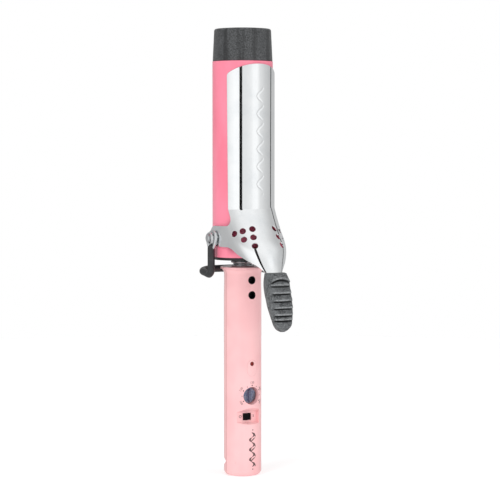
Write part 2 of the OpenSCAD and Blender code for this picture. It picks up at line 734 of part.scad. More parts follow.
// Black tab with rounded lower corners, on a foot that slides behind the slot
module switch_slider() color([0.07, 0.07, 0.08]) {
    translate([slider_middle, -6.8, switch_height]) rotate([90, 0, 0]) linear_extrude(3.1) {
        translate([-slider_width / 2, -slider_height / 2 + 1]) square([slider_width, slider_height - 1]);
        for (x = [-1, 1]) translate([x * (slider_width / 2 - 1), -slider_height / 2 + 1]) circle(r = 1);
        translate([-slider_width / 2 + 1, -slider_height / 2]) square([slider_width - 2, 1.5]);
    }
    translate([slider_middle - 3, -6.85, switch_height - 2.9]) cube([6, 0.7, 5.8]);
}

handle_front_shell();
handle_back_shell();
shell_screws();
neck_screws();
cord_gland();
indicator_plate();
indicator_lamp();
control_board();
dial_potentiometer();
power_switch();
mains_terminal();
heater_leads();
neck_tube();
neck_washers();
base_ring();
barrel();
heat_spreaders();
heater_element();
temperature_sensor();
thermal_fuse();
tip_disc();
tip_cap();
hinge_pins();
hinge_washers();
spring_bracket();
spring_pin();
return_spring();
clip_spoon();
ear_bushes();
thumb_grip();
stand_wires();
stand_sleeve();
dial_knob();
dial_shaft();
switch_slider();
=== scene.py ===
import json
import math

import bpy
import numpy as np
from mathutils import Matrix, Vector
from mathutils.geometry import delaunay_2d_cdt


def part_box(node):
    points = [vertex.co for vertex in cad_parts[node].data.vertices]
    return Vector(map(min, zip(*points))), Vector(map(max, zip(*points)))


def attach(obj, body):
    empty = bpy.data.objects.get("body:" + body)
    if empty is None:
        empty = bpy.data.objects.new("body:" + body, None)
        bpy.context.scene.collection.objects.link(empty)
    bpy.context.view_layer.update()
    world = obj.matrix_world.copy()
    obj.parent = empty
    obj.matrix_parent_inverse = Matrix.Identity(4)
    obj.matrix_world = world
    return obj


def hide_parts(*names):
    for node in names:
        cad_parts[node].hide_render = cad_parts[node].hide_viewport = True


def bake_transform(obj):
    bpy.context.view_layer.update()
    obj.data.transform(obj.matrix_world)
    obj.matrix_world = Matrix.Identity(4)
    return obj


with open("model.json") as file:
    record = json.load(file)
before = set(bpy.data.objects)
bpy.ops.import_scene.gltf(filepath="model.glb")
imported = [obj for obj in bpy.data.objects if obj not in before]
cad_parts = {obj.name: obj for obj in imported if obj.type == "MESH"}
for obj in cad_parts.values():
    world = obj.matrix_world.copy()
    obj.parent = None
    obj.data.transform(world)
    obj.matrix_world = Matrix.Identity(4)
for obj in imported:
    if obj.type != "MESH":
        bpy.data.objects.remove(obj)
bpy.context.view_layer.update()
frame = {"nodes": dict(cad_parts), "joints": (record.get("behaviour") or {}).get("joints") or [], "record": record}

mm = 0.001
nodes = frame["nodes"]
joints = {joint["name"]: joint for joint in frame["joints"]}
hingeZ = joints["clip_hinge"]["pos_m"][2] / mm
dialZ = joints["dial_turn"]["pos_m"][2] / mm


def boxOf(node):
    # a node's lowest and highest corners in millimetres
    low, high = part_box(node)
    return low / mm, high / mm


print("frame loaded:", len(nodes), "nodes")


# Shader maths: a port is one output socket, and Python arithmetic on it adds Math nodes

class Port:
    def __init__(self, graph, socket):
        self.graph, self.socket = graph, socket

    def calc(self, operation, *values):
        return self.graph.node("ShaderNodeMath", {"operation": operation}, dict(enumerate(values)))

    def __add__(self, other):
        return self.calc("ADD", self, other)

    def __radd__(self, other):
        return self.calc("ADD", other, self)

    def __sub__(self, other):
        return self.calc("SUBTRACT", self, other)

    def __rsub__(self, other):
        return self.calc("SUBTRACT", other, self)

    def __mul__(self, other):
        return self.calc("MULTIPLY", self, other)

    def __rmul__(self, other):
        return self.calc("MULTIPLY", other, self)

    def __truediv__(self, other):
        return self.calc("DIVIDE", self, other)

    def __abs__(self):
        return self.calc("ABSOLUTE", self)

    def rise(self, start, end):
        # 0 up to start, 1 from end, and a soft step between
        settings = {"interpolation_type": "SMOOTHSTEP"}
        return self.graph.node("ShaderNodeMapRange", settings, {"Value": self, 1: start, 2: end})

    def band(self, middle, half, soft):
        # 1 within half of the middle, fading over soft
        return 1 - abs(self - middle).rise(half, half + soft)


class Graph:
    def __init__(self, tree):
        self.tree = tree

    def node(self, kind, settings=None, sockets=None, out=0):
        made = self.tree.nodes.new(kind)
        for name, value in (settings or {}).items():
            if name == "stops":
                points = made.color_ramp.elements
                points[0].position, points[0].color = value[0]
                points[1].position, points[1].color = value[-1]
                for place, shade in value[1:-1]:
                    points.new(place).color = shade
            else:
                setattr(made, name, value)
        for key, value in (sockets or {}).items():
            if isinstance(value, Port):
                self.tree.links.new(value.socket, made.inputs[key])
            else:
                made.inputs[key].default_value = value
        return Port(self, made.outputs[out])

    def mix(self, factor, a, b, blend="MIX"):
        settings = {"data_type": "RGBA", "blend_type": blend}
        return self.node("ShaderNodeMix", settings, {0: factor, 6: a, 7: b}, 2)

    def place(self):
        # the point on the object in the frame's own axes, in millimetres
        at = self.node("ShaderNodeTexCoord", out=3)
        return self.node("ShaderNodeVectorMath", {"operation": "SCALE"}, {0: at, "Scale": 1 / mm})

    def axes(self, at):
        return [self.node("ShaderNodeSeparateXYZ", {}, {0: at}, i) for i in range(3)]

    def stretch(self, at, x, y, z):
        return self.node("ShaderNodeVectorMath", {"operation": "MULTIPLY"}, {0: at, 1: (x, y, z)})

    def noise(self, at, scale, detail=3, rough=0.5):
        sockets = {"Vector": at, "Scale": scale, "Detail": detail, "Roughness": rough}
        return self.node("ShaderNodeTexNoise", {}, sockets)

    def cells(self, at, scale, feature="F1"):
        return self.node("ShaderNodeTexVoronoi", {"feature": feature}, {"Vector": at, "Scale": scale})


class Finish(Graph):
    # one material: what is the same all over is given by name, the rest is linked
    def __init__(self, name, **same):
        self.material = bpy.data.materials.new(name)
        self.material.use_nodes = True
        super().__init__(self.material.node_tree)
        self.shader = self.tree.nodes["Principled BSDF"]
        for key, value in same.items():
            self.shader.inputs[key.replace("_", " ")].default_value = value

    def feed(self, name, port):
        self.tree.links.new(port.socket, self.shader.inputs[name])

    def bump(self, height, depth):
        # depth is the height of the relief in millimetres
        self.feed("Normal", self.node("ShaderNodeBump", {}, {"Height": height, "Distance": depth * mm}))


def tone(red, green, blue):
    # screen values to the linear ones that the shaders take
    return tuple((c / 255 / 12.92 if c < 11 else ((c / 255 + 0.055) / 1.055) ** 2.4)
                 for c in (red, green, blue)) + (1.0,)


# Finishes

handlePink = {
    "colour": (249, 196, 197), "shade": (246, 188, 190), "roughness": 0.34, "grainDepth": 0.006,
    "seamHalf": 0.1, "seamSoft": 0.2, "seamTone": (190, 122, 126), "backShellShade": (238, 184, 184),
    "wellShadowTone": (10, 9, 10), "wellEdge": (2.68, 2.8), "wellInset": 2.3,
}


def handleFinish():
    use = handlePink
    f = Finish("handlePlastic", Coat_Roughness=0.12, Specular_IOR_Level=0.45)
    at = f.place()
    x, y, z = f.axes(at)
    cloud = f.noise(at, 0.045, 2)
    flow = f.noise(f.stretch(at, 1, 1, 0.15), 0.4, 3)
    body = f.mix(cloud.rise(0.35, 0.68), tone(*use["colour"]), tone(*use["shade"]))
    # the back shell is a slightly darker moulding, and painted shade as well: its tone stands for the dimmer light
    # on the back half
    body = f.mix(y.rise(0, 1.2) * 0.7, body, tone(*use["backShellShade"]))
    seam = y.band(0, use["seamHalf"], use["seamSoft"])
    body = f.mix(seam * 0.85, body, tone(*use["seamTone"]))
    # painted shade: the two screw wells under the rim are painted black inside, for the deep shadow in them
    low, high = boxOf("neck_screws")
    wells = 0
    for height in (low.z + use["wellInset"], high.z - use["wellInset"]):
        square = x * x + (z - height) * (z - height)
        wells = wells + (1 - square.calc("SQRT", square).rise(*use["wellEdge"]))
    wells = wells * (y * -1).rise(0, 1)
    f.feed("Base Color", f.mix(wells, body, tone(*use["wellShadowTone"])))
    f.feed("Roughness", use["roughness"] + 0.1 * (flow - 0.5) + 0.3 * seam)
    f.feed("Coat Weight", 0.35 - 0.2 * flow)
    grain = f.noise(at, 5, 4, 0.6)
    f.bump(grain - 2.5 * seam, use["grainDepth"])
    return f.material


def plastic(name, colour, roughness=0.45, spread=0.12, grain=0.008, scale=3.0, coat=0.0, gloss=0.5):
    # plain moulded plastic: a slow change of colour, and a fine eroded grain
    f = Finish(name, Coat_Weight=coat, Specular_IOR_Level=gloss)
    at = f.place()
    cloud = f.noise(at, 0.12, 3)
    darker = tuple(c * (1 - spread) for c in colour)
    f.feed("Base Color", f.mix(cloud.rise(0.3, 0.7), tone(*colour), tone(*darker)))
    speck = f.noise(at, scale, 4, 0.6)
    f.feed("Roughness", roughness + 0.16 * (speck - 0.5))
    f.bump(speck, grain)
    return f.material


def metal(name, colour, roughness=0.2, brush=(1, 1, 1), depth=0.002, stain=0.06):
    # brush stretches the scratches: a small number is the direction that they run in
    f = Finish(name, Metallic=1.0)
    at = f.place()
    cloud = f.noise(at, 0.15, 4)
    darker = tuple(c * (1 - stain) for c in colour)
    f.feed("Base Color", f.mix(cloud.rise(0.35, 0.75), tone(*colour), tone(*darker)))
    lines = f.noise(f.stretch(at, *brush), 6, 3, 0.7)
    f.feed("Roughness", roughness + 0.1 * (lines - 0.5) + 0.05 * (cloud - 0.5))
    f.bump(lines, depth)
    return f.material


def chromeFinish():
    # polished plate: almost a mirror, with faint hand marks and hair-fine polishing lines
    f = Finish("clipChrome", Metallic=1.0)
    at = f.place()
    smear = f.noise(at, 0.09, 4, 0.6)
    lines = f.noise(f.stretch(at, 1, 1, 0.02), 9, 2)
    f.feed("Base Color", f.mix(smear.rise(0.4, 0.8), tone(246, 248, 249), tone(238, 241, 243)))
    f.feed("Roughness", 0.055 + 0.035 * smear.rise(0.45, 0.75) + 0.02 * lines)
    return f.material


barrelPink = {"colour": (243, 122, 146), "light": (250, 138, 162), "fleck": (255, 190, 204),
              "throatShadowTone": (150, 36, 74), "throatDepth": (8.5, 13.5), "throatBand": (1, 6, 7)}


def barrelFinish():
    # baked ceramic coat: fine pearl flecks under a glossy top, with slow bands round it
    use = barrelPink
    f = Finish("barrelCoating", Coat_Roughness=0.16)
    at = f.place()
    slow = f.noise(f.stretch(at, 1, 1, 0.4), 0.06, 2)
    base = f.mix(slow.rise(0.3, 0.7), tone(*use["colour"]), tone(*use["light"]))
    fleck = f.cells(at, 2.6).rise(0.32, 0.12)
    base = f.mix(fleck * 0.1, base, tone(*use["fleck"]))
    # painted shadow: the coat is painted darker where the lever's throat covers and shades it
    y, z = f.axes(at)[1:]
    above, half, fade = use["throatBand"]
    throat = (y * -1).rise(*use["throatDepth"]) * z.band(hingeZ + above, half, fade)
    f.feed("Base Color", f.mix(throat * 0.9, base, tone(*use["throatShadowTone"])))
    f.feed("Roughness", 0.38 + 0.12 * f.noise(at, 1.2, 3) - 0.1 * fleck)
    f.feed("Coat Weight", 0.35 + 0.2 * slow)
    f.bump(f.noise(at, 3.5, 3, 0.55), 0.006)
    return f.material


capGrey = {"colour": (21, 22, 24), "worn": (98, 100, 102), "roughness": 0.42, "pebble": 0.16}


def capFinish():
    # heat-proof cap with a spark-eroded pebble surface, paler on its worn edge
    use = capGrey
    f = Finish("capPlastic", Specular_IOR_Level=0.55)
    at = f.place()
    z = f.axes(at)[2]
    top = boxOf("tip_cap")[1].z
    pebbles = f.cells(at, 1.15, "SMOOTH_F1")
    grit = f.noise(at, 1.3, 5, 0.7)
    edge = z.rise(top - 2.4, top - 1.0) * f.noise(at, 0.5, 3).rise(0.4, 0.65)
    rubbed = f.noise(f.stretch(at, 1, 1, 0.06), 0.18, 2).rise(0.42, 0.58)
    body = f.mix(grit.rise(0.3, 0.72) * (0.3 + 0.6 * rubbed), tone(*use["colour"]), tone(*use["worn"]))
    f.feed("Base Color", f.mix(edge * 0.6, body, tone(*use["worn"])))
    f.feed("Roughness", use["roughness"] + 0.2 * (grit - 0.5))
    f.bump(pebbles + 0.5 * grit, use["pebble"])
    return f.material


grip = {
    "inner": [(-58.9, 49.4), (-57.5, 48.1), (-55, 47.6), (-51, 46), (-46.9, 44.1), (-42.8, 42.1),
              (-38.7, 40.4), (-34.6, 38.4), (-30.5, 37.2), (-26.4, 36.8), (-21.2, 37)],
    "outer": [(-58.9, 51.8), (-57.5, 52.9), (-55, 54), (-51, 54.2), (-46.9, 53.9), (-42.8, 53.3),
              (-38.7, 52.8), (-34.6, 51.8), (-30.5, 51), (-26.4, 50.2), (-21.2, 47)],
    "half": [(-58.9, 1.8), (-57.5, 4), (-55, 6), (-51, 7), (-46.9, 7.7), (-42.8, 8.2),
             (-38.7, 8.3), (-34.6, 8.3), (-30.5, 8.2), (-26.4, 7.9), (-21.2, 6.8)],
    "top": -21.2, "bottom": -58.9, "rowStep": 0.25, "around": 132, "squareness": 0.62,
    "steps": [-29.3, -34.2, -38.9, -43.6, -48.1, -51.2], "fade": -54.4,
    "ribDepth": 1.5, "ribLip": 0.35, "dropOver": 0.3, "hoodEdge": -25.0, "hoodSag": 2.6,
    "hoodHeight": 0.7, "hoodBand": 2.0, "hoodSink": 1.5,
}

gripGrey = {"colour": (26, 28, 30), "dust": (132, 135, 137), "shadow": (6, 6, 7),
            "lip": (160, 163, 165), "roughness": 0.5, "grain": 0.12, "hoodHalf": 7.6}


def gripFinish():
    use = gripGrey
    f = Finish("gripRubber", Specular_IOR_Level=0.4, Sheen_Weight=0.08, Sheen_Roughness=0.5)
    at = f.place()
    grit = f.noise(at, 1.4, 5, 0.7)
    pits = f.cells(at, 2.0)
    patch = f.noise(at, 0.25, 3)
    body = f.mix(grit.rise(0.4, 0.68), tone(*use["colour"]), tone(*use["dust"]))
    body = f.mix(patch.rise(0.35, 0.7) * 0.35, body, tone(*use["dust"]))
    # painted shade in the corner under each rib and under the hood; the rib lips and the crest over the hood are
    # painted lighter, part wear and part painted highlight
    x, y, z = f.axes(at)
    rise = z - hingeZ
    corners = lips = 0
    for step in grip["steps"]:
        corners = corners + rise.band(step - 0.5, 0.3, 0.4)
        lips = lips + rise.band(step + 0.6, 0.2, 0.6)
    front = (y * -1).rise(46.5, 48.5) * (1 - abs(x).rise(6.0, 7.2))
    out = x / use["hoodHalf"]
    arch = rise + out * out * grip["hoodSag"]
    hood = arch.band(grip["hoodEdge"] - 0.8, 0.4, 0.5)
    crest = arch.band(grip["hoodEdge"] + 0.7, 0.2, 0.6)
    body = f.mix((lips + crest) * front * 0.8 * grit.rise(0.3, 0.6), body, tone(*use["lip"]))
    f.feed("Base Color", f.mix((corners + hood) * front, body, tone(*use["shadow"])))
    f.feed("Roughness", use["roughness"] + 0.18 * (grit - 0.5))
    f.bump(grit + 0.6 * pits, use["grain"])
    return f.material


def sleeveFinish():
    f = Finish("standRubber", Specular_IOR_Level=0.5)
    at = f.place()
    grit = f.noise(at, 2.6, 4, 0.6)
    rub = f.noise(at, 0.35, 3).rise(0.5, 0.8)
    f.feed("Base Color", f.mix(rub * 0.6, tone(44, 45, 47), tone(72, 74, 76)))
    f.feed("Roughness", 0.42 + 0.2 * (grit - 0.5) + 0.1 * rub)
    f.bump(grit, 0.03)
    return f.material


def knobFinish():
    # blue-grey plastic with a cloudy depth to it, darker along the raised bar, with painted shade on its right
    # side
    f = Finish("knobPlastic", Coat_Weight=0.6, Coat_Roughness=0.08, Specular_IOR_Level=0.6)
    at = f.place()
    x, y, z = f.axes(at)
    cloud = f.noise(at, 0.9, 4, 0.6)
    body = f.mix(cloud.rise(0.35, 0.7), tone(84, 98, 134), tone(134, 136, 158))
    bar = (y * -1).rise(8.5, 9.3)
    # painted shade: the right side of the knob is painted dark, for the shadow in the gap by the recess wall
    side = (x + 0.35 * (z - dialZ) * -1).rise(2.6, 4.4)
    body = f.mix(side * 0.75, body, tone(52, 36, 52))
    f.feed("Base Color", f.mix(bar * 0.7, body, tone(58, 54, 84)))
    f.feed("Roughness", 0.22 + 0.12 * cloud)
    f.bump(cloud, 0.02)
    return f.material


def lampFinish():
    f = Finish("lampRed", Transmission_Weight=0.15, IOR=1.49, Emission_Strength=0.12)
    swirl = f.noise(f.place(), 1.6, 3)
    red = f.mix(swirl.rise(0.3, 0.7), tone(132, 22, 18), tone(84, 10, 8))
    f.feed("Base Color", red)
    f.feed("Emission Color", f.mix(swirl, tone(150, 20, 14), tone(90, 6, 4)))
    f.feed("Roughness", 0.2 + 0.1 * swirl)
    return f.material


def boardFinish():
    # solder mask over copper runs
    f = Finish("boardGreen", Coat_Weight=0.4)
    at = f.place()
    runs = f.noise(f.stretch(at, 1, 1, 0.12), 0.9, 2).rise(0.52, 0.56)
    cloud = f.noise(at, 1.5, 3)
    f.feed("Base Color", f.mix(runs * 0.6, tone(24, 84, 48), tone(60, 128, 74)))
    f.feed("Roughness", 0.3 + 0.2 * cloud)
    f.bump(runs, 0.03)
    return f.material


def braidFinish(name, colour):
    # braided sleeving on the heater leads
    f = Finish(name)
    at = f.place()
    waves = [f.node("ShaderNodeTexWave", {}, {"Vector": f.stretch(at, s, s, 1), "Scale": 0.9})
             for s in (1, -1)]
    weave = waves[0] * waves[1]
    f.feed("Base Color", f.mix(weave, tone(*(c * 0.8 for c in colour)), tone(*colour)))
    f.feed("Roughness", 0.8 - 0.15 * weave)
    f.bump(weave, 0.06)
    return f.material


def layeredFinish(name, colour, flake):
    # mica, ceramic and other fired parts: flakes or speckle in a matt body
    f = Finish(name)
    at = f.place()
    flakes = f.cells(at, 0.7)
    grit = f.noise(at, 2.5, 4, 0.6)
    f.feed("Base Color", f.mix(flakes.rise(0.2, 0.8), tone(*colour), tone(*flake)))
    f.feed("Roughness", 0.55 + 0.25 * (grit - 0.5))
    f.bump(grit, 0.03)
    return f.material


finishes = {
    "handle_plastic": handleFinish(),
    "plate_plastic": plastic("platePlastic", (249, 196, 197), 0.34, 0.02, 0.004, 4.0, 0.2),
    "screw_steel": metal("screwSteel", (196, 198, 200), 0.26, (1, 0.1, 1), 0.004),
    "black_screw": metal("blackScrew", (26, 26, 28), 0.4, (1, 0.2, 1), 0.006),
    "black_plastic": plastic("blackPlastic", (38, 38, 40), 0.4, 0.2, 0.012),
    "lamp_red": lampFinish(),
    "board_green": boardFinish(),
    "terminal_nylon": plastic("terminalNylon", (226, 224, 214), 0.5, 0.06, 0.01),
    "lead_sleeving": braidFinish("leadSleeving", (232, 230, 220)),
    "steel": metal("steel", (208, 210, 212), 0.24, (1, 1, 0.2), 0.004),
    "bright_steel": metal("brightSteel", (226, 228, 230), 0.14, (0.3, 1, 1), 0.002, 0.1),
    "barrel_coating": barrelFinish(),
    "aluminium": metal("aluminium", (214, 216, 218), 0.34, (1, 1, 0.05), 0.006),
    "ceramic": layeredFinish("ceramic", (236, 232, 222), (222, 214, 200)),
    "sensor_bead": plastic("sensorBead", (196, 140, 70), 0.3, 0.2, 0.02),
    "fuse_can": metal("fuseCan", (220, 220, 216), 0.22, (1, 1, 0.3), 0.003),
    "mica": layeredFinish("mica", (206, 188, 150), (170, 148, 108)),
    "cap_plastic": capFinish(),
    "spring_steel": metal("springSteel", (176, 148, 116), 0.24, (1, 1, 1), 0.004, 0.25),
    "clip_chrome": chromeFinish(),
    "grip_rubber": gripFinish(),
    "stand_rubber": sleeveFinish(),
    "knob_plastic": knobFinish(),
    "slider_plastic": plastic("sliderPlastic", (7, 6, 8), 0.5, 0.3, 0.01, 4.0, 0.0, 0.12),
}
printInk = plastic("printInk", (112, 86, 86), 0.5, 0.15, 0.004, 6.0)
# painted shade: the darker pink of the strip in the gap round the indicator plate
plateGapShade = plastic("plateGapShade", (216, 160, 162), 0.5, 0.1, 0.004, 6.0)

# the record says which finish each node has
slotOf = {part["node"]: part["material_slot"] for part in frame["record"]["subparts"]}
for name, piece in nodes.items():
    for holder in piece.material_slots:
        holder.material = finishes[slotOf[name]]
print("finishes made:", len(finishes) + 2)


# Mesh helpers: points are in millimetres

def addPiece(name, points, faces, slot, body="root", replaces=(), normals=None, finish=None):
    mesh = bpy.data.meshes.new(name)
    mesh.from_pydata([Vector(p) * mm for p in points], [], faces)
    mesh.polygons.foreach_set("use_smooth", [True] * len(faces))
    mesh.update()
    if normals is not None:
        mesh.normals_split_custom_set_from_vertices([tuple(n) for n in normals])
    mesh.materials.append(finish or finishes[slot])
    piece = bpy.data.objects.new(name, mesh)
    bpy.context.scene.collection.objects.link(piece)
    if body:
        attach(piece, body)
    if replaces:
        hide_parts(*replaces)
    return piece


def sharpen(piece, degrees=35):
    # creases sharper than this stay crisp
    bpy.context.view_layer.update()
    piece.data.set_sharp_from_angle(angle=math.radians(degrees))
    return piece


def joined(shapes):
    # several (points, faces) as one
    points, faces = [], []
    for morePoints, moreFaces in shapes:
        start = len(points)
        points += morePoints
        faces += [tuple(i + start for i in face) for face in moreFaces]
    return points, faces


def loft(rings, closed=False):
    # a skin through equal rings, with a fan at each end unless it closes on itself
    size, points, faces = len(rings[0]), [Vector(p) for ring in rings for p in ring], []
    count = len(rings)
    for i in range(count if closed else count - 1):
        a, b = i * size, (i + 1) % count * size
        faces += [(a + j, a + (j + 1) % size, b + (j + 1) % size, b + j) for j in range(size)]
    if not closed:
        for ring, flip in ((0, True), (count - 1, False)):
            middle = sum((points[ring * size + j] for j in range(size)), Vector()) / size
            points.append(middle)
            for j in range(size):
                face = (ring * size + j, ring * size + (j + 1) % size, len(points) - 1)
                faces.append(face[::-1] if flip else face)
    return points, faces


def lathe(profile, origin, axis, sideways, steps=64):
    # profile gives radius and distance along the axis
    third = Vector(axis).cross(Vector(sideways))
    rings = []
    for radius, along in profile:
        turn = [i * math.tau / steps for i in range(steps)]
        rings.append([Vector(origin) + Vector(axis) * along
                      + radius * (math.cos(a) * Vector(sideways) + math.sin(a) * third) for a in turn])
    return loft(rings)


def tube(path, radius, sides=20, roundEnds=True):
    # a round bar along the path, turned as little as possible, with domed ends
    path = [Vector(p) for p in path]
    ahead = [(path[min(i + 1, len(path) - 1)] - path[max(i - 1, 0)]).normalized()
             for i in range(len(path))]
    side = ahead[0].orthogonal().normalized()
    rings = []

    def ring(middle, direction, size):
        other = direction.cross(side)
        rings.append([middle + size * (math.cos(a) * side + math.sin(a) * other)
                      for a in (j * math.tau / sides for j in range(sides))])

    dome = [(math.sin(a), math.cos(a)) for a in (math.radians(d) for d in (15, 40, 65))]
    if roundEnds:
        for width, back in dome:
            ring(path[0] - ahead[0] * radius * back, ahead[0], radius * width)
    for middle, direction in zip(path, ahead):
        side = (side - side.dot(direction) * direction).normalized()
        ring(middle, direction, radius)
    if roundEnds:
        for width, back in reversed(dome):
            ring(path[-1] + ahead[-1] * radius * back, ahead[-1], radius * width)
    return loft(rings)


def curve(points, steps=8):
    # smooth line through the points
    points = [Vector(p) for p in points]
    line = []
    for i in range(len(points) - 1):
        p0, p1, p2 = points[max(i - 1, 0)], points[i], points[i + 1]
        p3 = points[min(i + 2, len(points) - 1)]
        for k in range(steps):
            t = k / steps
            line.append(0.5 * (2 * p1 + (p2 - p0) * t + (2 * p0 - 5 * p1 + 4 * p2 - p3) * t * t
                               + (3 * p1 - p0 - 3 * p2 + p3) * t ** 3))
    line.append(points[-1])
    return line


def along(table, x):
    # smooth curve through a table of (place, value)
    last = len(table) - 1
    i = next((k for k in range(last - 1) if x <= table[k + 1][0]), last - 1)

    def slope(k):
        a, b = max(k - 1, 0), min(k + 1, last)
        return (table[b][1] - table[a][1]) / (table[b][0] - table[a][0])

    w = table[i + 1][0] - table[i][0]
    t = (x - table[i][0]) / w
    return ((2 * t ** 3 - 3 * t ** 2 + 1) * table[i][1] + (t ** 3 - 2 * t ** 2 + t) * w * slope(i)
            + (3 * t ** 2 - 2 * t ** 3) * table[i + 1][1] + (t ** 3 - t ** 2) * w * slope(i + 1))


def soft(x):
    x = min(1.0, max(0.0, x))
    return x * x * (3 - 2 * x)


# Clip: one pressed sheet, described by its height above the hinge and the distance along it

clip = {
    "sheet": 0.9, "closed": 21.2, "side": 21.3, "crease": 19.5, "creaseSoft": 0.35,
    "reach": [(-46, 49.8), (-38, 48), (-30, 45.6), (-23.5, 43), (-18.5, 41.1), (-14, 40.1),
              (-9, 38.8), (-5, 37.1), (-2, 35.1), (3, 31.2), (7.5, 28.2), (12, 25.3), (19.5, 21.2)],
    "bend": [(-46, 12), (-30, 10), (-24, 9.5), (-20, 12), (-15, 15.5), (-10, 18), (-6, 19.5),
             (-2.4, 20), (2, 20.5), (7, 20.6), (12, 20.8), (19.5, 21.2)],
    "halfWidth": [(-46, 4.4), (-30, 5), (-24, 5.2), (-21.5, 6.6), (-19.1, 9.2), (-16.4, 12.8),
                  (-14.2, 17.7), (-12, 21.8), (-9.9, 25.7), (-6.8, 29.8), (-5.6, 33)],
    "tip": 114.3, "corner": 107.6, "cornerReach": 22.1, "cornerRound": 1.6,
    "lowAngle": 57.5, "highAngle": 59.7, "filletRadius": 6.5, "filletHeight": 14.7,
    "earRadius": 6.9, "earY": -0.1, "earHeight": 1.2,
    "ventRadius": 2.1, "bushHole": 2.62, "edgeRound": 0.16,
    "vents": [(3.5, 22.2), (5.3, 15.5), (6.7, 8.6), (0, 16.7), (1.5, 9.8), (-3.9, 10.8)],
    "grid": 0.95, "fineGrid": 0.5, "edgeStep": 0.55, "edgeRoom": 0.42, "holeRoom": 0.38, "waveZone": 4,
    "waveLow": 27, "waveHigh": 101, "waveMiddle": 1.2, "waveSwing": 2.2, "waveLength": 11.5,
    "waveStroke": 0.55, "waveDepth": 0.17,
}


def sheetSection(h):
    # the sheet seen from above at one height: a rounded front, then a flank back to the ear
    if h >= clip["crease"]:
        reach = bend = clip["closed"]
    else:
        reach = along(clip["reach"], h)
        bend = min(along(clip["bend"], h), reach)
    centre = reach - bend
    sideY = -min(8.0, max(0.0, 8.0 - h))
    distance = math.hypot(clip["side"], centre + sideY)
    turn = math.atan2(centre + sideY, clip["side"]) - math.acos(min(1.0, bend / distance))
    tangent = (bend * math.cos(turn), bend * math.sin(turn) - centre)
    front = bend * (turn + math.pi / 2)
    flank = math.hypot(clip["side"] - tangent[0], sideY - tangent[1])
    return bend, centre, tangent, sideY, front, flank


sectionCache = {}


def cachedSection(h):
    key = round(h, 4)
    if key not in sectionCache:
        sectionCache[key] = sheetSection(key)
    return sectionCache[key]


def flatPoint(h, s):
    bend, centre, tangent, sideY, front, flank = cachedSection(h)
    side, d = (-1 if s < 0 else 1), abs(s)
    if h >= clip["crease"] or d < front:
        angle = d / bend - math.pi / 2
        x, y = bend * math.cos(angle), bend * math.sin(angle) - centre
    elif d < front + flank:
        t = (d - front) / flank
        x = tangent[0] + (clip["side"] - tangent[0]) * t
        y = tangent[1] + (sideY - tangent[1]) * t
    else:
        x, y = clip["side"], sideY + d - front - flank
    return Vector((side * x, y, hingeZ + h))


def sheetPoint(h, s):
    # heights just above and below are averaged: a little at the crease, more down the lever
    gap = clip["crease"] - h
    if gap < -clip["creaseSoft"]:
        return flatPoint(h, s)
    reach = min(3.2, clip["creaseSoft"] + 0.4 * abs(gap))
    steps = [-1, -0.66, -0.33, 0, 0.33, 0.66, 1]
    middle = sum((flatPoint(h + reach * k, s) for k in steps), Vector()) / len(steps)
    middle.z = hingeZ + h
    return middle


def waveRelief(h, s):
    # an ornament of soft waves pressed into the blade
    if not clip["waveLow"] < h < clip["waveHigh"] or abs(s - clip["waveMiddle"]) > clip["waveZone"]:
        return 0.0
    phase = (h - clip["waveLow"]) / clip["waveLength"] * math.tau
    line = clip["waveMiddle"] + clip["waveSwing"] * math.sin(phase)
    slope = clip["waveSwing"] * math.tau / clip["waveLength"] * math.cos(phase)
    gap = abs(s - line) / math.hypot(1, slope)
    ends = soft((h - clip["waveLow"]) / 3) * soft((clip["waveHigh"] - h) / 3)
    breaks = soft(abs(math.cos(phase / 2 + 0.6)) * 3 - 0.4)
    return -clip["waveDepth"] * ends * breaks * (1 - soft(gap / clip["waveStroke"] - 0.5))


def sheetNormal(h, s, step=0.06):
    across = sheetPoint(h, s + step) - sheetPoint(h, s - step)
    up = sheetPoint(h + step, s) - sheetPoint(h - step, s)
    return across.cross(up).normalized()


def reliefPoint(h, s):
    point = sheetPoint(h, s)
    depth = waveRelief(h, s)
    return point + sheetNormal(h, s) * depth if depth else point


def reliefNormal(h, s, step=0.08):
    if not clip["waveLow"] < h < clip["waveHigh"] or abs(s - clip["waveMiddle"]) > clip["waveZone"]:
        return sheetNormal(h, s)
    across = reliefPoint(h, s + step) - reliefPoint(h, s - step)
    up = reliefPoint(h + step, s) - reliefPoint(h - step, s)
    return across.cross(up).normalized()


def earReach(h):
    sideY, front, flank = cachedSection(h)[3:]
    return front + flank + clip["earY"] - sideY


def evenly(points, step):
    # the same line with its points about step apart
    spaced = [points[0]]
    for a, b in zip(points, points[1:]):
        length = math.dist(a, b)
        count = max(1, round(length / step))
        spaced += [(a[0] + (b[0] - a[0]) * k / count, a[1] + (b[1] - a[1]) * k / count)
                   for k in range(1, count + 1)]
    return spaced


def bladeEdge(h):
    # how far round the barrel the blade reaches, which grows a little towards the tip
    share = (h - clip["crease"]) / (clip["corner"] - clip["crease"])
    return clip["closed"] * math.radians(
        clip["lowAngle"] + (clip["highAngle"] - clip["lowAngle"]) * share)


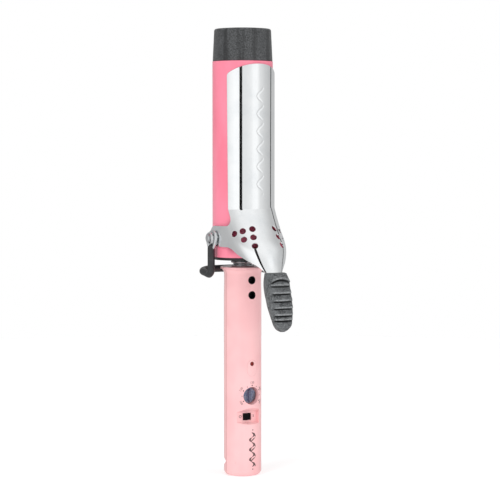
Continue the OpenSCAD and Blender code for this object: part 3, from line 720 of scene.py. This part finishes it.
def clipOutline():
    # half the sheet's edge as (s, h), from the tip down to the lever's end, then mirrored
    half = []
    rise = clip["tip"] - clip["corner"]
    arch = (clip["cornerReach"] ** 2 + rise ** 2) / (2 * rise)
    for k in range(31):
        s = (clip["cornerReach"] - clip["cornerRound"]) * k / 30
        half.append((s, clip["tip"] - arch + math.sqrt(arch * arch - s * s)))
    start = half[-1]
    low = clip["corner"] - clip["cornerRound"]
    middle, end = (clip["cornerReach"], clip["corner"]), (bladeEdge(low), low)
    for k in range(1, 7):
        t = k / 6
        half.append(tuple((1 - t) ** 2 * a + 2 * t * (1 - t) * b + t * t * c
                          for a, b, c in zip(start, middle, end)))
    half.append((bladeEdge(clip["crease"]), clip["crease"]))
    radius = clip["filletRadius"]
    filletS = clip["closed"] * math.radians(clip["lowAngle"]) + radius
    for degrees in range(0, 82, 6):
        a = math.radians(degrees)
        half.append((filletS - radius * math.cos(a), clip["filletHeight"] - radius * math.sin(a)))
    for degrees in range(12, 171, 6):
        a = math.radians(degrees)
        h = clip["earHeight"] + clip["earRadius"] * math.cos(a)
        half.append((earReach(h) + clip["earRadius"] * math.sin(a), h))
    for k in range(41):
        h = -5.6 + (-46 + 5.6) * k / 40
        half.append((along(clip["halfWidth"], h), h))
    half = evenly(half, clip["edgeStep"])
    return [(-s, h) for s, h in half[:0:-1]] + half


def circleOn(h, s, radius, steps=44):
    # a round hole: the points whose distance in space from its centre is the radius
    centre = sheetPoint(h, s)
    ring = []
    for k in range(steps):
        a = k * math.tau / steps
        du, dv = math.cos(a), math.sin(a)
        size = radius
        for _ in range(4):
            size *= radius / (sheetPoint(h + size * dv, s + size * du) - centre).length
        ring.append((s + size * du, h + size * dv))
    return ring


def edgeNormals(ring, outward):
    # unit directions in the flat pattern that point off the metal
    out = []
    for k in range(len(ring)):
        a, b = ring[k - 1], ring[(k + 1) % len(ring)]
        dx, dy = b[0] - a[0], b[1] - a[1]
        size = math.hypot(dx, dy) or 1.0
        out.append((dy / size * outward, -dx / size * outward))
    return out


def insideOf(ring, points):
    # even-odd test of many points against one closed ring
    ring = np.array(ring)
    nxt = np.roll(ring, -1, axis=0)
    x, y = points[:, 0:1], points[:, 1:2]
    crosses = (ring[:, 1] > y) != (nxt[:, 1] > y)
    with np.errstate(divide="ignore", invalid="ignore"):
        at = (nxt[:, 0] - ring[:, 0]) * (y - ring[:, 1]) / (nxt[:, 1] - ring[:, 1]) + ring[:, 0]
    return np.sum(crosses & (x < at), axis=1) % 2 == 1


def nearestTo(ring, points):
    best = np.full(len(points), 1e9)
    for p in ring:
        best = np.minimum(best, np.hypot(points[:, 0] - p[0], points[:, 1] - p[1]))
    return best


def signedArea(ring):
    return sum(a[0] * b[1] - b[0] * a[1] for a, b in zip(ring, ring[1:] + ring[:1])) / 2


def onMetal(rings, points):
    # inside the outline and outside every hole
    keep = insideOf(rings[0], points)
    for ring in rings[1:]:
        keep &= ~insideOf(ring, points)
    return keep


def clipLoops():
    # the outline and then the holes, each with 1 or -1 for the side that the metal is on
    loops = [(clipOutline(), 1)]
    for h, s in clip["vents"]:
        loops += [(circleOn(h, side * s, clip["ventRadius"]), -1) for side in (1, -1)]
    earS = earReach(0) - clip["earY"]
    loops += [(circleOn(0, side * earS, clip["bushHole"]), -1) for side in (1, -1)]
    return [(ring if signedArea(ring) > 0 else ring[::-1], kind) for ring, kind in loops]


def clipGrid(outline, rings):
    # a grid inside the outline, finer under the ornament
    low, high = min(p[1] for p in outline), max(p[1] for p in outline)
    wide = max(p[0] for p in outline)
    coarse, fine, zone = clip["grid"], clip["fineGrid"], clip["waveZone"]
    bottom, top, middle = clip["waveLow"] - 1, clip["waveHigh"] + 1, clip["waveMiddle"]
    grid = [(s, h) for h in np.arange(low, high, coarse) for s in np.arange(-wide, wide, coarse)
            if not (bottom < h < top and abs(s - middle) < zone + 0.4)]
    grid += [(s, h) for h in np.arange(bottom, top, fine)
             for s in np.arange(middle - (zone + 0.4), middle + zone + 0.5, fine)]
    grid = np.array(grid)
    keep = onMetal(rings, grid) & (nearestTo(rings[0], grid) > clip["edgeRoom"])
    for ring in rings[1:]:
        keep &= nearestTo(ring, grid) > clip["holeRoom"]
    return [tuple(p) for p in grid[keep]]


def buildClip():
    loops = clipLoops()
    cut = clip["edgeRound"]
    rings, edges = [], []
    for ring, kind in loops:
        away = edgeNormals(ring, kind)
        rings.append([(p[0] - n[0] * cut, p[1] - n[1] * cut) for p, n in zip(ring, away)])
        edges.append(away)
    flat, lines = [], []
    for ring in rings:
        start, size = len(flat), len(ring)
        flat += ring
        lines += [(start + k, start + (k + 1) % size) for k in range(size)]
    flat += clipGrid(loops[0][0], rings)
    found = delaunay_2d_cdt([Vector(p) for p in flat], lines, [], 0, 1e-5)
    flatNow, triangles, origins = found[0], found[2], found[3]
    middles = np.array([[sum(flatNow[i][k] for i in face) / 3 for k in (0, 1)] for face in triangles])
    triangles = [face for face, good in zip(triangles, onMetal(rings, middles)) if good]
    if len(flatNow) != len(flat):
        print("clip pattern gained points:", len(flatNow) - len(flat))
    newOf = {}
    for new, olds in enumerate(origins):
        for old in olds:
            newOf[old] = new
    sheet = clip["sheet"]
    count = len(flatNow)
    outer = [reliefPoint(p[1], p[0]) for p in flatNow]
    outerNormal = [reliefNormal(p[1], p[0]) for p in flatNow]
    plain = [sheetPoint(p[1], p[0]) for p in flatNow]
    plainNormal = [sheetNormal(p[1], p[0]) for p in flatNow]
    inner = [p - n * sheet for p, n in zip(plain, plainNormal)]
    points = outer + inner
    normals = outerNormal + [-n for n in plainNormal]
    faces = []
    for a, b, c in triangles:
        faces += [(a, b, c), (count + a, count + c, count + b)]
    start = 0
    for (ring, kind), away in zip(loops, edges):
        size, base = len(ring), len(points)
        for p, n in zip(ring, away):
            place, up = sheetPoint(p[1], p[0]), sheetNormal(p[1], p[0])
            off = sheetPoint(p[1] + n[1] * 0.05, p[0] + n[0] * 0.05) - place
            off = (off - off.dot(up) * up).normalized()
            for depth in (cut, sheet - cut):
                points.append(place - up * depth)
                normals.append(off)
        for k in range(size):
            nxt = (k + 1) % size
            a, b = newOf[start + k], newOf[start + nxt]
            upperA, lowerA = base + 2 * k, base + 2 * k + 1
            upperB, lowerB = base + 2 * nxt, base + 2 * nxt + 1
            quads = [(b, a, upperA, upperB), (upperB, upperA, lowerA, lowerB),
                     (lowerB, lowerA, count + a, count + b)]
            faces += quads if kind > 0 else [q[::-1] for q in quads]
        start += size
    addPiece("clip_sheet", points, faces, "clip_chrome", "clip", ["clip_spoon"], normals)


buildClip()
print("clip pressed")


# Thumb grip: a block of rubber on the lever, with a hood and shingled ribs on its face

def gripRelief(h, u):
    # how far the face stands out or sinks in at a height and a share of the half width
    hood = grip["hoodEdge"] - grip["hoodSag"] * abs(u) ** 2.6
    steps = grip["steps"]
    if h > hood:
        above = h - hood
        return grip["hoodHeight"] * soft(above / 0.3) * (1 - soft((above - 0.5) / grip["hoodBand"]))
    if h > steps[0]:
        return -grip["hoodSink"] * soft((hood - h) / 0.35)
    for upper, lower in zip(steps, steps[1:] + [grip["fade"]]):
        if h > lower:
            t = (upper - h) / (upper - lower)
            drop = soft((upper - h) / grip["dropOver"])
            sunk = grip["ribDepth"] * (1 - soft(t * 1.1)) * drop
            lip = grip["ribLip"] * (1 - drop if upper < steps[0] else 0)
            lip += grip["ribLip"] * soft((t - 0.45) / 0.5) * (h > steps[-1])
            return lip - sunk * (1 if h > steps[-1] else 1 - soft((steps[-1] - h) / 3.2))
    return 0.0


def buildGrip():
    rings = []
    rows = round((grip["top"] - grip["bottom"]) / grip["rowStep"])
    for i in range(rows + 1):
        h = grip["top"] - (grip["top"] - grip["bottom"]) * i / rows
        inner, outer = along(grip["inner"], h), along(grip["outer"], h)
        half, thick = along(grip["half"], h), (outer - inner) / 2
        # the top and the foot are rounded over
        ends = min(h - grip["bottom"], (grip["top"] - h) * 2.2)
        pull = 1 - 0.12 * (1 - min(1.0, ends / 1.0)) ** 2
        ring = []
        for k in range(grip["around"]):
            a = k * math.tau / grip["around"]
            cx = math.copysign(abs(math.cos(a)) ** grip["squareness"], math.cos(a))
            cy = math.copysign(abs(math.sin(a)) ** grip["squareness"], math.sin(a))
            face = soft((cy - 0.35) / 0.4)
            lift = gripRelief(h, cx) * face
            ring.append(Vector((half * cx * pull,
                                -(inner + outer) / 2 - (thick * pull + lift) * cy, hingeZ + h)))
        rings.append(ring)
    points, faces = loft(rings)
    sharpen(addPiece("lever_grip", points, faces, "grip_rubber", "clip", ["thumb_grip"]), 50)


buildGrip()
print("grip moulded")


# Stand: bare wire wound round each pin, pushed into one bent rubber tube

stand = {
    "legX": 24.0, "legTop": -6.6, "footLow": -24.0, "footBend": 3.5, "barHeight": -21.6, "barY": 17.8,
    "corner": 9.0, "sleeveRadius": 2.4, "wireRadius": 1.05, "eyeWide": 4.3, "eyeNarrow": 2.9,
    "eyeInner": 22.9, "eyeOuter": 25.1, "strandGap": 0.6, "strandY": 1.2,
}


def buildStand():
    use = stand
    low, bend = use["footLow"], use["footBend"]
    half = [(use["legX"], 0, use["legTop"]), (use["legX"], 0, use["legTop"] - 7),
            (use["legX"], 0, low + bend)]
    for degrees in (22.5, 45, 67.5, 90):
        a = math.radians(degrees)
        half.append((use["legX"], bend * (1 - math.cos(a)), low + bend * (1 - math.sin(a))))
    for degrees in range(0, 91, 10):
        a = math.radians(degrees)
        half.append((use["legX"] - use["corner"] * (1 - math.cos(a)),
                     use["barY"] - use["corner"] * (1 - math.sin(a)),
                     low + (use["barHeight"] - low) * (0.4 + 0.6 * degrees / 90)))
    half.append((7, use["barY"], use["barHeight"]))
    full = half + [(-x, y, z) for x, y, z in reversed(half)]
    middle = curve([(x, y, z + hingeZ) for x, y, z in full], 6)
    points, faces = tube(middle, use["sleeveRadius"], 36)
    addPiece("stand_tube", points, faces, "stand_rubber", "stand", ["stand_sleeve"])

    shapes = []
    for side in (-1, 1):
        inner, outer = use["eyeInner"], use["eyeOuter"]
        wide, narrow = use["eyeWide"], use["eyeNarrow"]
        strand = use["legX"] - use["strandGap"], use["legX"] + use["strandGap"]
        wire = [(strand[0], -use["strandY"], use["legTop"] - 2.5),
                (strand[0], -use["strandY"], use["legTop"] - 0.4),
                ((strand[0] + inner) / 2, -wide * 0.7, -4.3)]
        for degrees in range(0, 541, 15):
            a = math.radians(180 - degrees)
            shift = soft((degrees - 150) / 240)
            r = wide + (narrow - wide) * shift
            wire.append((inner + (outer - inner) * shift, r * math.cos(a), r * math.sin(a)))
        wire += [((strand[1] + outer) / 2, narrow * 0.82, -3.6),
                 (strand[1], use["strandY"], use["legTop"] - 0.4),
                 (strand[1], use["strandY"], use["legTop"] - 2.5)]
        shapes.append(tube(curve([(side * x, y, z + hingeZ) for x, y, z in wire], 4),
                           use["wireRadius"], 20))
    points, faces = joined(shapes)
    addPiece("stand_wire_eyes", points, faces, "bright_steel", "stand", ["stand_wires"])


buildStand()
print("stand bent")


# Hinge pins with domed heads

pins = {"radius": 1.6, "headRadius": 2.3, "headFrom": 26.65, "headThick": 0.8, "inside": 16.6,
        "collar": 2.5}


def buildPins():
    use = pins
    shapes = []
    for side in (-1, 1):
        r, edge = use["headRadius"], use["headFrom"]
        profile = [(0.4, use["inside"] + 0.1), (use["collar"] - 0.2, use["inside"]),
                   (use["collar"], use["inside"] + 0.2), (use["collar"], use["inside"] + 1.4),
                   (use["collar"] - 0.1, use["inside"] + 1.5), (use["radius"], use["inside"] + 1.5),
                   (use["radius"], edge), (r - 0.1, edge), (r, edge + 0.12), (r, edge + 0.3)]
        profile += [(r * math.cos(a), edge + 0.3 + (use["headThick"] - 0.3) * math.sin(a))
                    for a in (math.radians(d) for d in range(15, 90, 12))]
        shapes.append(lathe(profile, (0, 0, hingeZ), (side, 0, 0), (0, side, 0)))
    points, faces = joined(shapes)
    sharpen(addPiece("pin_studs", points, faces, "bright_steel", "root", ["hinge_pins"]))


buildPins()


# Return spring: a double torsion spring on its pin, with a hairpin on the barrel

spring = {"y": -23.0, "z": -7.5, "coilRadius": 1.85, "wire": 0.48, "half": 4.45, "gap": 0.75,
          "turns": 3.5, "hairpin": 9.0, "hairpinY": -21.3, "armEnd": -34.6}


def buildSpring():
    use = spring
    line = [(-use["half"], use["armEnd"], 1.4), (-use["half"], use["y"] - 3, use["coilRadius"] - 0.1)]
    turns, r = use["turns"] + 0.25, use["coilRadius"]
    count = round(turns * 18)
    for k in range(count + 1):
        # from the top of the coil, over the back and round, towards the middle
        a = math.pi / 2 - k / count * turns * math.tau
        x = -use["half"] + (use["half"] - use["gap"]) * k / count
        line.append((x, use["y"] + r * math.cos(a), r * math.sin(a)))
    top = [(-use["gap"], use["hairpinY"], 3.0), (-use["gap"], use["hairpinY"], use["hairpin"] - 1),
           (-use["gap"] * 0.6, use["hairpinY"], use["hairpin"] - 0.2)]
    half = line + top
    full = half + [(0, use["hairpinY"], use["hairpin"])] + [(-x, y, z) for x, y, z in reversed(half)]
    path = curve([(x, y, z + hingeZ + use["z"]) for x, y, z in full], 2)
    points, faces = tube(path, use["wire"], 12)
    piece = addPiece("return_coil", points, faces, "spring_steel", None, ["return_spring"])
    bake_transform(piece)


buildSpring()
print("hinge fitted")


# Dial knob: a dished disc with a raised bar to turn it by

knob = {"radius": 5.2, "back": 6.9, "face": 8.2, "dish": 0.35, "barHalf": 1.15, "barTop": 9.5,
        "barEnd": 4.5, "rings": 34, "around": 144}


def buildKnob():
    use = knob
    rings = []
    radius, around = use["radius"], use["around"]

    def surface(x, z):
        r = math.hypot(x, z)
        face = use["face"] - use["dish"] * (1 - (r / radius) ** 2)
        bar = soft((use["barHalf"] - abs(x)) / 0.45) * soft((use["barEnd"] - r) / 0.9)
        return face + (use["barTop"] - face) * bar

    for k in range(1, use["rings"] + 1):
        r = (radius - 0.25) * k / use["rings"]
        rings.append([Vector((r * math.cos(a), -surface(r * math.cos(a), r * math.sin(a)),
                              dialZ + r * math.sin(a)))
                      for a in (j * math.tau / around for j in range(around))])
    for size, depth in ((radius - 0.08, 0.07), (radius, 0.25), (radius, 0.7), (radius, 1.1),
                        (radius - 0.15, 1.3), (radius - 2.4, 1.3)):
        notch = [0.06 * (1 - math.cos(j * 36 * math.tau / around)) * (0.2 < depth < 1.2)
                 for j in range(around)]
        rings.append([Vector(((size - notch[j]) * math.cos(j * math.tau / around),
                              -(use["face"] - depth),
                              dialZ + (size - notch[j]) * math.sin(j * math.tau / around)))
                      for j in range(around)])
    points, faces = loft(rings)
    sharpen(addPiece("temperature_knob", points, faces, "knob_plastic", "dial", ["dial_knob"]), 50)


buildKnob()


# Switch tab: a black thumb tab with a ribbed face on a wider foot

tab = {"width": 4.0, "height": 4.3, "to": 9.9, "footFrom": 6.2, "footTo": 6.85, "footWider": 2,
       "footTaller": 1.4, "footRound": 0.6, "topRound": 0.3, "lowRound": 1.2, "ribStep": 1,
       "ribLow": 1.3, "ribHigh": 1.5, "ribRadius": 0.16}


def buildTab():
    use = tab
    low, high = boxOf("switch_slider")
    middle, middleZ = (low.x + high.x) / 2, (low.z + high.z) / 2

    def outline(depth, width, height, lowRound, shrink=0.0):
        # flat top, well rounded lower corners
        halfX, halfZ = width / 2 - shrink, height / 2 - shrink
        top = use["topRound"]
        corners = ((1, 1, top, 0), (-1, 1, top, 90), (-1, -1, lowRound, 180), (1, -1, lowRound, 270))
        ring = []
        for cx, cz, r, start in corners:
            for degrees in range(start, start + 91, 15):
                a = math.radians(degrees)
                ring.append(Vector((middle + (cx * (halfX - r) + r * math.cos(a)), -depth,
                                    middleZ + (cz * (halfZ - r) + r * math.sin(a)))))
        return ring

    foot = use["width"] + use["footWider"], use["height"] + use["footTaller"], use["footRound"]
    body = use["width"], use["height"], use["lowRound"]
    rings = [outline(use["footFrom"], *foot), outline(use["footTo"], *foot),
             outline(use["footTo"], *body), outline(use["to"] - 0.3, *body),
             outline(use["to"] - 0.08, *body, 0.1), outline(use["to"], *body, 0.32)]
    points, faces = loft(rings)
    ribs = []
    for k in (-1, 0, 1):
        x = middle + k * use["ribStep"]
        line = [(x, -use["to"], middleZ + rise) for rise in (-use["ribLow"], 0, use["ribHigh"])]
        ribs.append(tube(line, use["ribRadius"], 10))
    points, faces = joined([(points, faces)] + ribs)
    sharpen(addPiece("switch_tab", points, faces, "slider_plastic", "slider", ["switch_slider"]))


buildTab()
print("controls fitted")


# Print on the handle: dial dots and numbers, switch symbols and a wave ornament

ink = {
    "handleRadius": 12.5, "thick": 0.03, "dotRing": 7.0, "dotRadius": 0.36, "dots": 9,
    "dotSweep": 120, "dotSizes": (1.25, 0.85), "ringRadius": 0.8, "ringLine": 0.36, "barHalf": 0.9,
    "barLine": 0.45, "symbolsUp": 0.3,
    "numberSize": 2.1, "numberRing": 8.8, "numbers": [(-120, "100"), (-60, "120"), (0, "150"),
                                                      (60, "180"), (120, "200")],
    "pocketFloor": 8.4, "offX": -6.8, "onX": 3.2,
}


def onHandle(x, z, lift):
    # a flat drawing wrapped round the front of the handle
    radius = ink["handleRadius"]
    a = x / radius
    return Vector(((radius + lift) * math.sin(a), -(radius + lift) * math.cos(a), z))


def onPocket(x, z, lift):
    # the flat floor behind the switch
    return Vector((x, -ink["pocketFloor"] - lift, z))


def patch(ring, onto=onHandle):
    # a thin closed chip of ink with the outline given as (x, z)
    size = len(ring)
    middle = (sum(p[0] for p in ring) / size, sum(p[1] for p in ring) / size)
    points = [onto(x, z, ink["thick"]) for x, z in ring]
    points += [onto(x, z, -ink["thick"]) for x, z in ring]
    points += [onto(*middle, ink["thick"]), onto(*middle, -ink["thick"])]
    faces = []
    for j in range(size):
        k = (j + 1) % size
        faces += [(j, k, 2 * size), (size + k, size + j, 2 * size + 1), (k, j, size + j, size + k)]
    return points, faces


def stroke(line, width, onto=onHandle):
    # a line as a strip of quads, closed all round; the width is a number, or changes along it
    points, faces = [], []
    for i, (x, z) in enumerate(line):
        before, after = line[max(i - 1, 0)], line[min(i + 1, len(line) - 1)]
        dx, dz = after[0] - before[0], after[1] - before[1]
        size = math.hypot(dx, dz) or 1.0
        w = (width(i / (len(line) - 1)) if callable(width) else width) / 2
        for side in (1, -1):
            for lift in (ink["thick"], -ink["thick"]):
                points.append(onto(x - side * dz / size * w, z + side * dx / size * w, lift))
    for i in range(len(line) - 1):
        a, b = 4 * i, 4 * i + 4
        faces += [(a, a + 2, b + 2, b), (a + 1, b + 1, b + 3, a + 3),
                  (a, b, b + 1, a + 1), (a + 2, a + 3, b + 3, b + 2)]
    last = 4 * (len(line) - 1)
    faces += [(0, 1, 3, 2), (last, last + 2, last + 3, last + 1)]
    return points, faces


def circleRing(x, z, radius, steps=20):
    return [(x + radius * math.cos(k * math.tau / steps), z + radius * math.sin(k * math.tau / steps))
            for k in range(steps)]


def figures(text, size, x, z, turnDegrees):
    # numbers set along the dial, laid on the handle
    letters = bpy.data.curves.new("figures", "FONT")
    letters.body, letters.size, letters.align_x, letters.align_y = text, size, "CENTER", "CENTER"
    letters.extrude = ink["thick"]
    letters.resolution_u = 3
    holder = bpy.data.objects.new("figures", letters)
    bpy.context.scene.collection.objects.link(holder)
    mesh = holder.evaluated_get(bpy.context.evaluated_depsgraph_get()).to_mesh()
    a = math.radians(turnDegrees)
    points = [onHandle(x + v.co.x * math.cos(a) - v.co.y * math.sin(a),
                       z + v.co.x * math.sin(a) + v.co.y * math.cos(a), v.co.z) for v in mesh.vertices]
    faces = [tuple(face.vertices) for face in mesh.polygons]
    bpy.data.objects.remove(holder)
    return points, faces


def buildPrint():
    use = ink
    shapes = []
    sweep = use["dotSweep"]
    for k in range(use["dots"]):
        a = math.radians(-sweep + 2 * sweep * k / (use["dots"] - 1))
        spot = use["dotRadius"] * use["dotSizes"][k % 2]
        shapes.append(patch(circleRing(use["dotRing"] * math.sin(a),
                                       dialZ + use["dotRing"] * math.cos(a), spot)))
    for degrees, text in use["numbers"]:
        a = math.radians(degrees)
        turn = -degrees if abs(degrees) < 90 else math.copysign(180 - abs(degrees), degrees)
        shapes.append(figures(text, use["numberSize"], use["numberRing"] * math.sin(a),
                              dialZ + use["numberRing"] * math.cos(a), turn))
    # a ring and a bar beside the switch
    low, high = boxOf("switch_slider")
    z = (low.z + high.z) / 2 + use["symbolsUp"]
    off, on, radius, half = use["offX"], use["onX"], use["ringRadius"], use["barHalf"]
    shapes.append(stroke(circleRing(off, z, radius) + [(off + radius, z)], use["ringLine"], onPocket))
    shapes.append(stroke([(on, z - half), (on, z + half)], use["barLine"], onPocket))
    points, faces = joined(shapes)
    addPiece("dial_print", points, faces, None, "root", finish=printInk)


# each strand is how far it is shifted and how wide it swells
ornament = {"low": 6.5, "high": 29.5, "swing": 1.55, "waves": 3.5, "steps": 150, "thin": 0.2,
            "strands": [(0.0, 1.3), (1.1, 0.6)], "beadX": 0.5, "beadRadius": 0.42, "beadAway": 1.6}


def buildOrnament():
    # swelling waves down the lower handle, with a small bead at each end
    use = ornament
    low, high, count = use["low"], use["high"], use["steps"]
    shapes = []
    for shift, wide in use["strands"]:
        def swell(t):
            return use["thin"] + wide * abs(math.sin(t * 2 * use["waves"] * math.pi)) ** 1.5

        line = [(shift + use["swing"] * math.sin(k / count * use["waves"] * math.tau + shift),
                 low + (high - low) * k / count) for k in range(count + 1)]
        shapes.append(stroke(line, swell))
    for z in (low - use["beadAway"], high + use["beadAway"]):
        shapes.append(patch(circleRing(use["beadX"], z, use["beadRadius"])))
    points, faces = joined(shapes)
    addPiece("wave_print", points, faces, None, "root", finish=printInk)


# heights are measured down from the lamp
plate = {"half": 3.4, "gap": 0.05, "top": 0.9, "side": 4.6, "foot": 8.3, "line": 0.16}


def buildPlateGapShade():
    # painted shade: a thin dark strip round the indicator plate, for the shadow in the gap between plate and
    # shell; a half circle over two bellies that meet in a point
    low, high = boxOf("indicator_lamp")
    lamp, half = (low.z + high.z) / 2, plate["half"] + plate["gap"]
    top, side, foot = lamp - plate["top"], lamp - plate["side"], lamp - plate["foot"]
    belly = ((side - foot) ** 2 + half ** 2) / (2 * half)
    sweep = math.atan2(side - foot, belly - half)
    line = [(half * math.cos(k * math.pi / 24), top + half * math.sin(k * math.pi / 24))
            for k in range(25)]
    bend = [(belly - half - belly * math.cos(sweep * k / 8), side - belly * math.sin(sweep * k / 8))
            for k in range(9)]
    line += bend + [(-x, z) for x, z in bend[-2::-1]] + [(half, top)]
    points, faces = stroke(line, plate["line"])
    addPiece("plate_gap_shade", points, faces, None, "root", finish=plateGapShade)


buildPrint()
buildOrnament()
buildPlateGapShade()
print("print laid on")


# Camera, floor and light

camera = {"azimuth": -30.5, "elevation": 3.3, "distance": 1.25, "lens": 135.23, "sensor": 36,
          "aside": 0.0049, "height": 0.1501}


def setCamera():
    use = camera
    a, e = math.radians(use["azimuth"]), math.radians(use["elevation"])
    back = Vector((math.sin(a) * math.cos(e), -math.cos(a) * math.cos(e), math.sin(e)))
    right = Vector((math.cos(a), math.sin(a), 0))
    target = right * use["aside"] + Vector((0, 0, use["height"]))
    data = bpy.data.cameras.new("camera")
    data.lens, data.sensor_width = use["lens"], use["sensor"]
    holder = bpy.data.objects.new("camera", data)
    bpy.context.scene.collection.objects.link(holder)
    holder.location = target + back * use["distance"]
    holder.rotation_mode = "QUATERNION"
    holder.rotation_quaternion = (-back).to_track_quat("-Z", "Y")
    bpy.context.scene.camera = holder


studio = {
    "floorRadius": 0.9, "floorGlow": 0.34,
    # lamps as degrees from the front, degrees up, metres away, side in metres and watts
    "lamps": [(-62, 20, 1.4, 0.6, 5.5), (35, 25, 1.4, 0.6, 1.6)],
    # the black flag and the dark edge: degrees from the front and half the width
    "flag": (-36.6, 4.7), "flagTop": (41, 45), "flagDark": 0.995,
    "edge": (91.1, 2.7), "edgeLean": 0.7, "edgeDark": 0.93, "soft": 0.5,
    # degrees from the front and how bright the room is there; 1 is the white of the paper
    "walls": [(-180, 0.5), (-160, 0.45), (-120, 0.5), (-100, 0.6), (-88, 0.82), (-78, 0.96),
              (-60, 1.06), (-38, 1.06), (-33, 0.82), (-15, 0.85), (0, 0.92), (10, 1.03), (24, 1.03),
              (36, 0.8), (60, 0.64), (90, 0.52), (93, 0.55), (130, 0.55), (155, 0.6), (180, 0.5)],
    "high": [(-180, 0.55), (-150, 0.44), (-102, 0.46), (-75, 0.74), (-50, 0.92), (10, 0.96), (50, 0.84),
             (85, 0.54), (108, 0.5), (125, 0.66), (180, 0.55)],
    "above": 0.95, "below": 0.72, "wallTop": (14, 34), "aboveFrom": (62, 82), "belowFrom": (20, 60),
}


def addStudio():
    use = studio
    steps = 96
    ring = [(use["floorRadius"] * math.cos(k * math.tau / steps),
             use["floorRadius"] * math.sin(k * math.tau / steps), 0) for k in range(steps)]
    mesh = bpy.data.meshes.new("floor")
    mesh.from_pydata(ring, [], [tuple(range(steps))])
    f = Finish("floorPaper", Roughness=0.9, Emission_Strength=use["floorGlow"],
               Emission_Color=(1, 1, 1, 1), Specular_IOR_Level=0.1)
    f.feed("Base Color", f.mix(f.noise(f.place(), 0.02, 3), tone(250, 250, 250), tone(246, 246, 246)))
    mesh.materials.append(f.material)
    floor = bpy.data.objects.new("floor", mesh)
    floor.location.z = -0.0002
    bpy.context.scene.collection.objects.link(floor)
    floor.visible_glossy = False

    world = bpy.data.worlds.new("studio")
    world.use_nodes = True
    bpy.context.scene.world = world
    g = Graph(world.node_tree)
    direction = g.node("ShaderNodeTexCoord", out=0)
    x, y, z = g.axes(direction)
    around = x.calc("ARCTAN2", x, y * -1) * math.degrees(1)
    height = z.calc("ARCSINE", z) * math.degrees(1)
    seen = g.node("ShaderNodeLightPath")
    shade = g.mix(seen, roomTones(g, around, height), (1, 1, 1, 1))
    g.tree.links.new(shade.socket, world.node_tree.nodes["Background"].inputs["Color"])


def roomTones(g, around, height):
    # how bright the room is in each direction: low walls, high walls, one black flag, one dark edge
    use = studio

    def wall(name):
        stops = [(place / 360 + 0.5, (value, value, value, 1)) for place, value in use[name]]
        return g.node("ShaderNodeValToRGB", {"stops": stops}, {0: around / 360 + 0.5})

    walls = g.mix(height.rise(*use["wallTop"]), wall("walls"), wall("high"))
    flag = around.band(*use["flag"], use["soft"]) * (1 - height.rise(*use["flagTop"]))
    lean = around - use["edgeLean"] * height.calc("MAXIMUM", height, 0)
    edge = lean.band(*use["edge"], use["soft"])
    dark = (1 - use["flagDark"] * flag) * (1 - use["edgeDark"] * edge)
    room = g.mix(1.0, walls, dark, "MULTIPLY")
    room = g.mix(height.rise(*use["aboveFrom"]), room, (use["above"],) * 3 + (1,))
    return g.mix((height * -1).rise(*use["belowFrom"]), room, (use["below"],) * 3 + (1,))


def addLamps():
    # soft lamps that light the surfaces but are not mirrored in the chrome
    for around, up, away, side, watts in studio["lamps"]:
        a, e = math.radians(around), math.radians(up)
        data = bpy.data.lights.new("lamp", "AREA")
        data.energy, data.size = watts, side
        holder = bpy.data.objects.new("lamp", data)
        bpy.context.scene.collection.objects.link(holder)
        toward = Vector((math.sin(a) * math.cos(e), -math.cos(a) * math.cos(e), math.sin(e)))
        holder.location = toward * away + Vector((0, 0, 0.15))
        holder.rotation_mode = "QUATERNION"
        holder.rotation_quaternion = (-toward).to_track_quat("-Z", "Y")
        holder.visible_glossy = False


setCamera()
addStudio()
addLamps()
bpy.context.scene.view_settings.view_transform = "Standard"
print("studio lit")
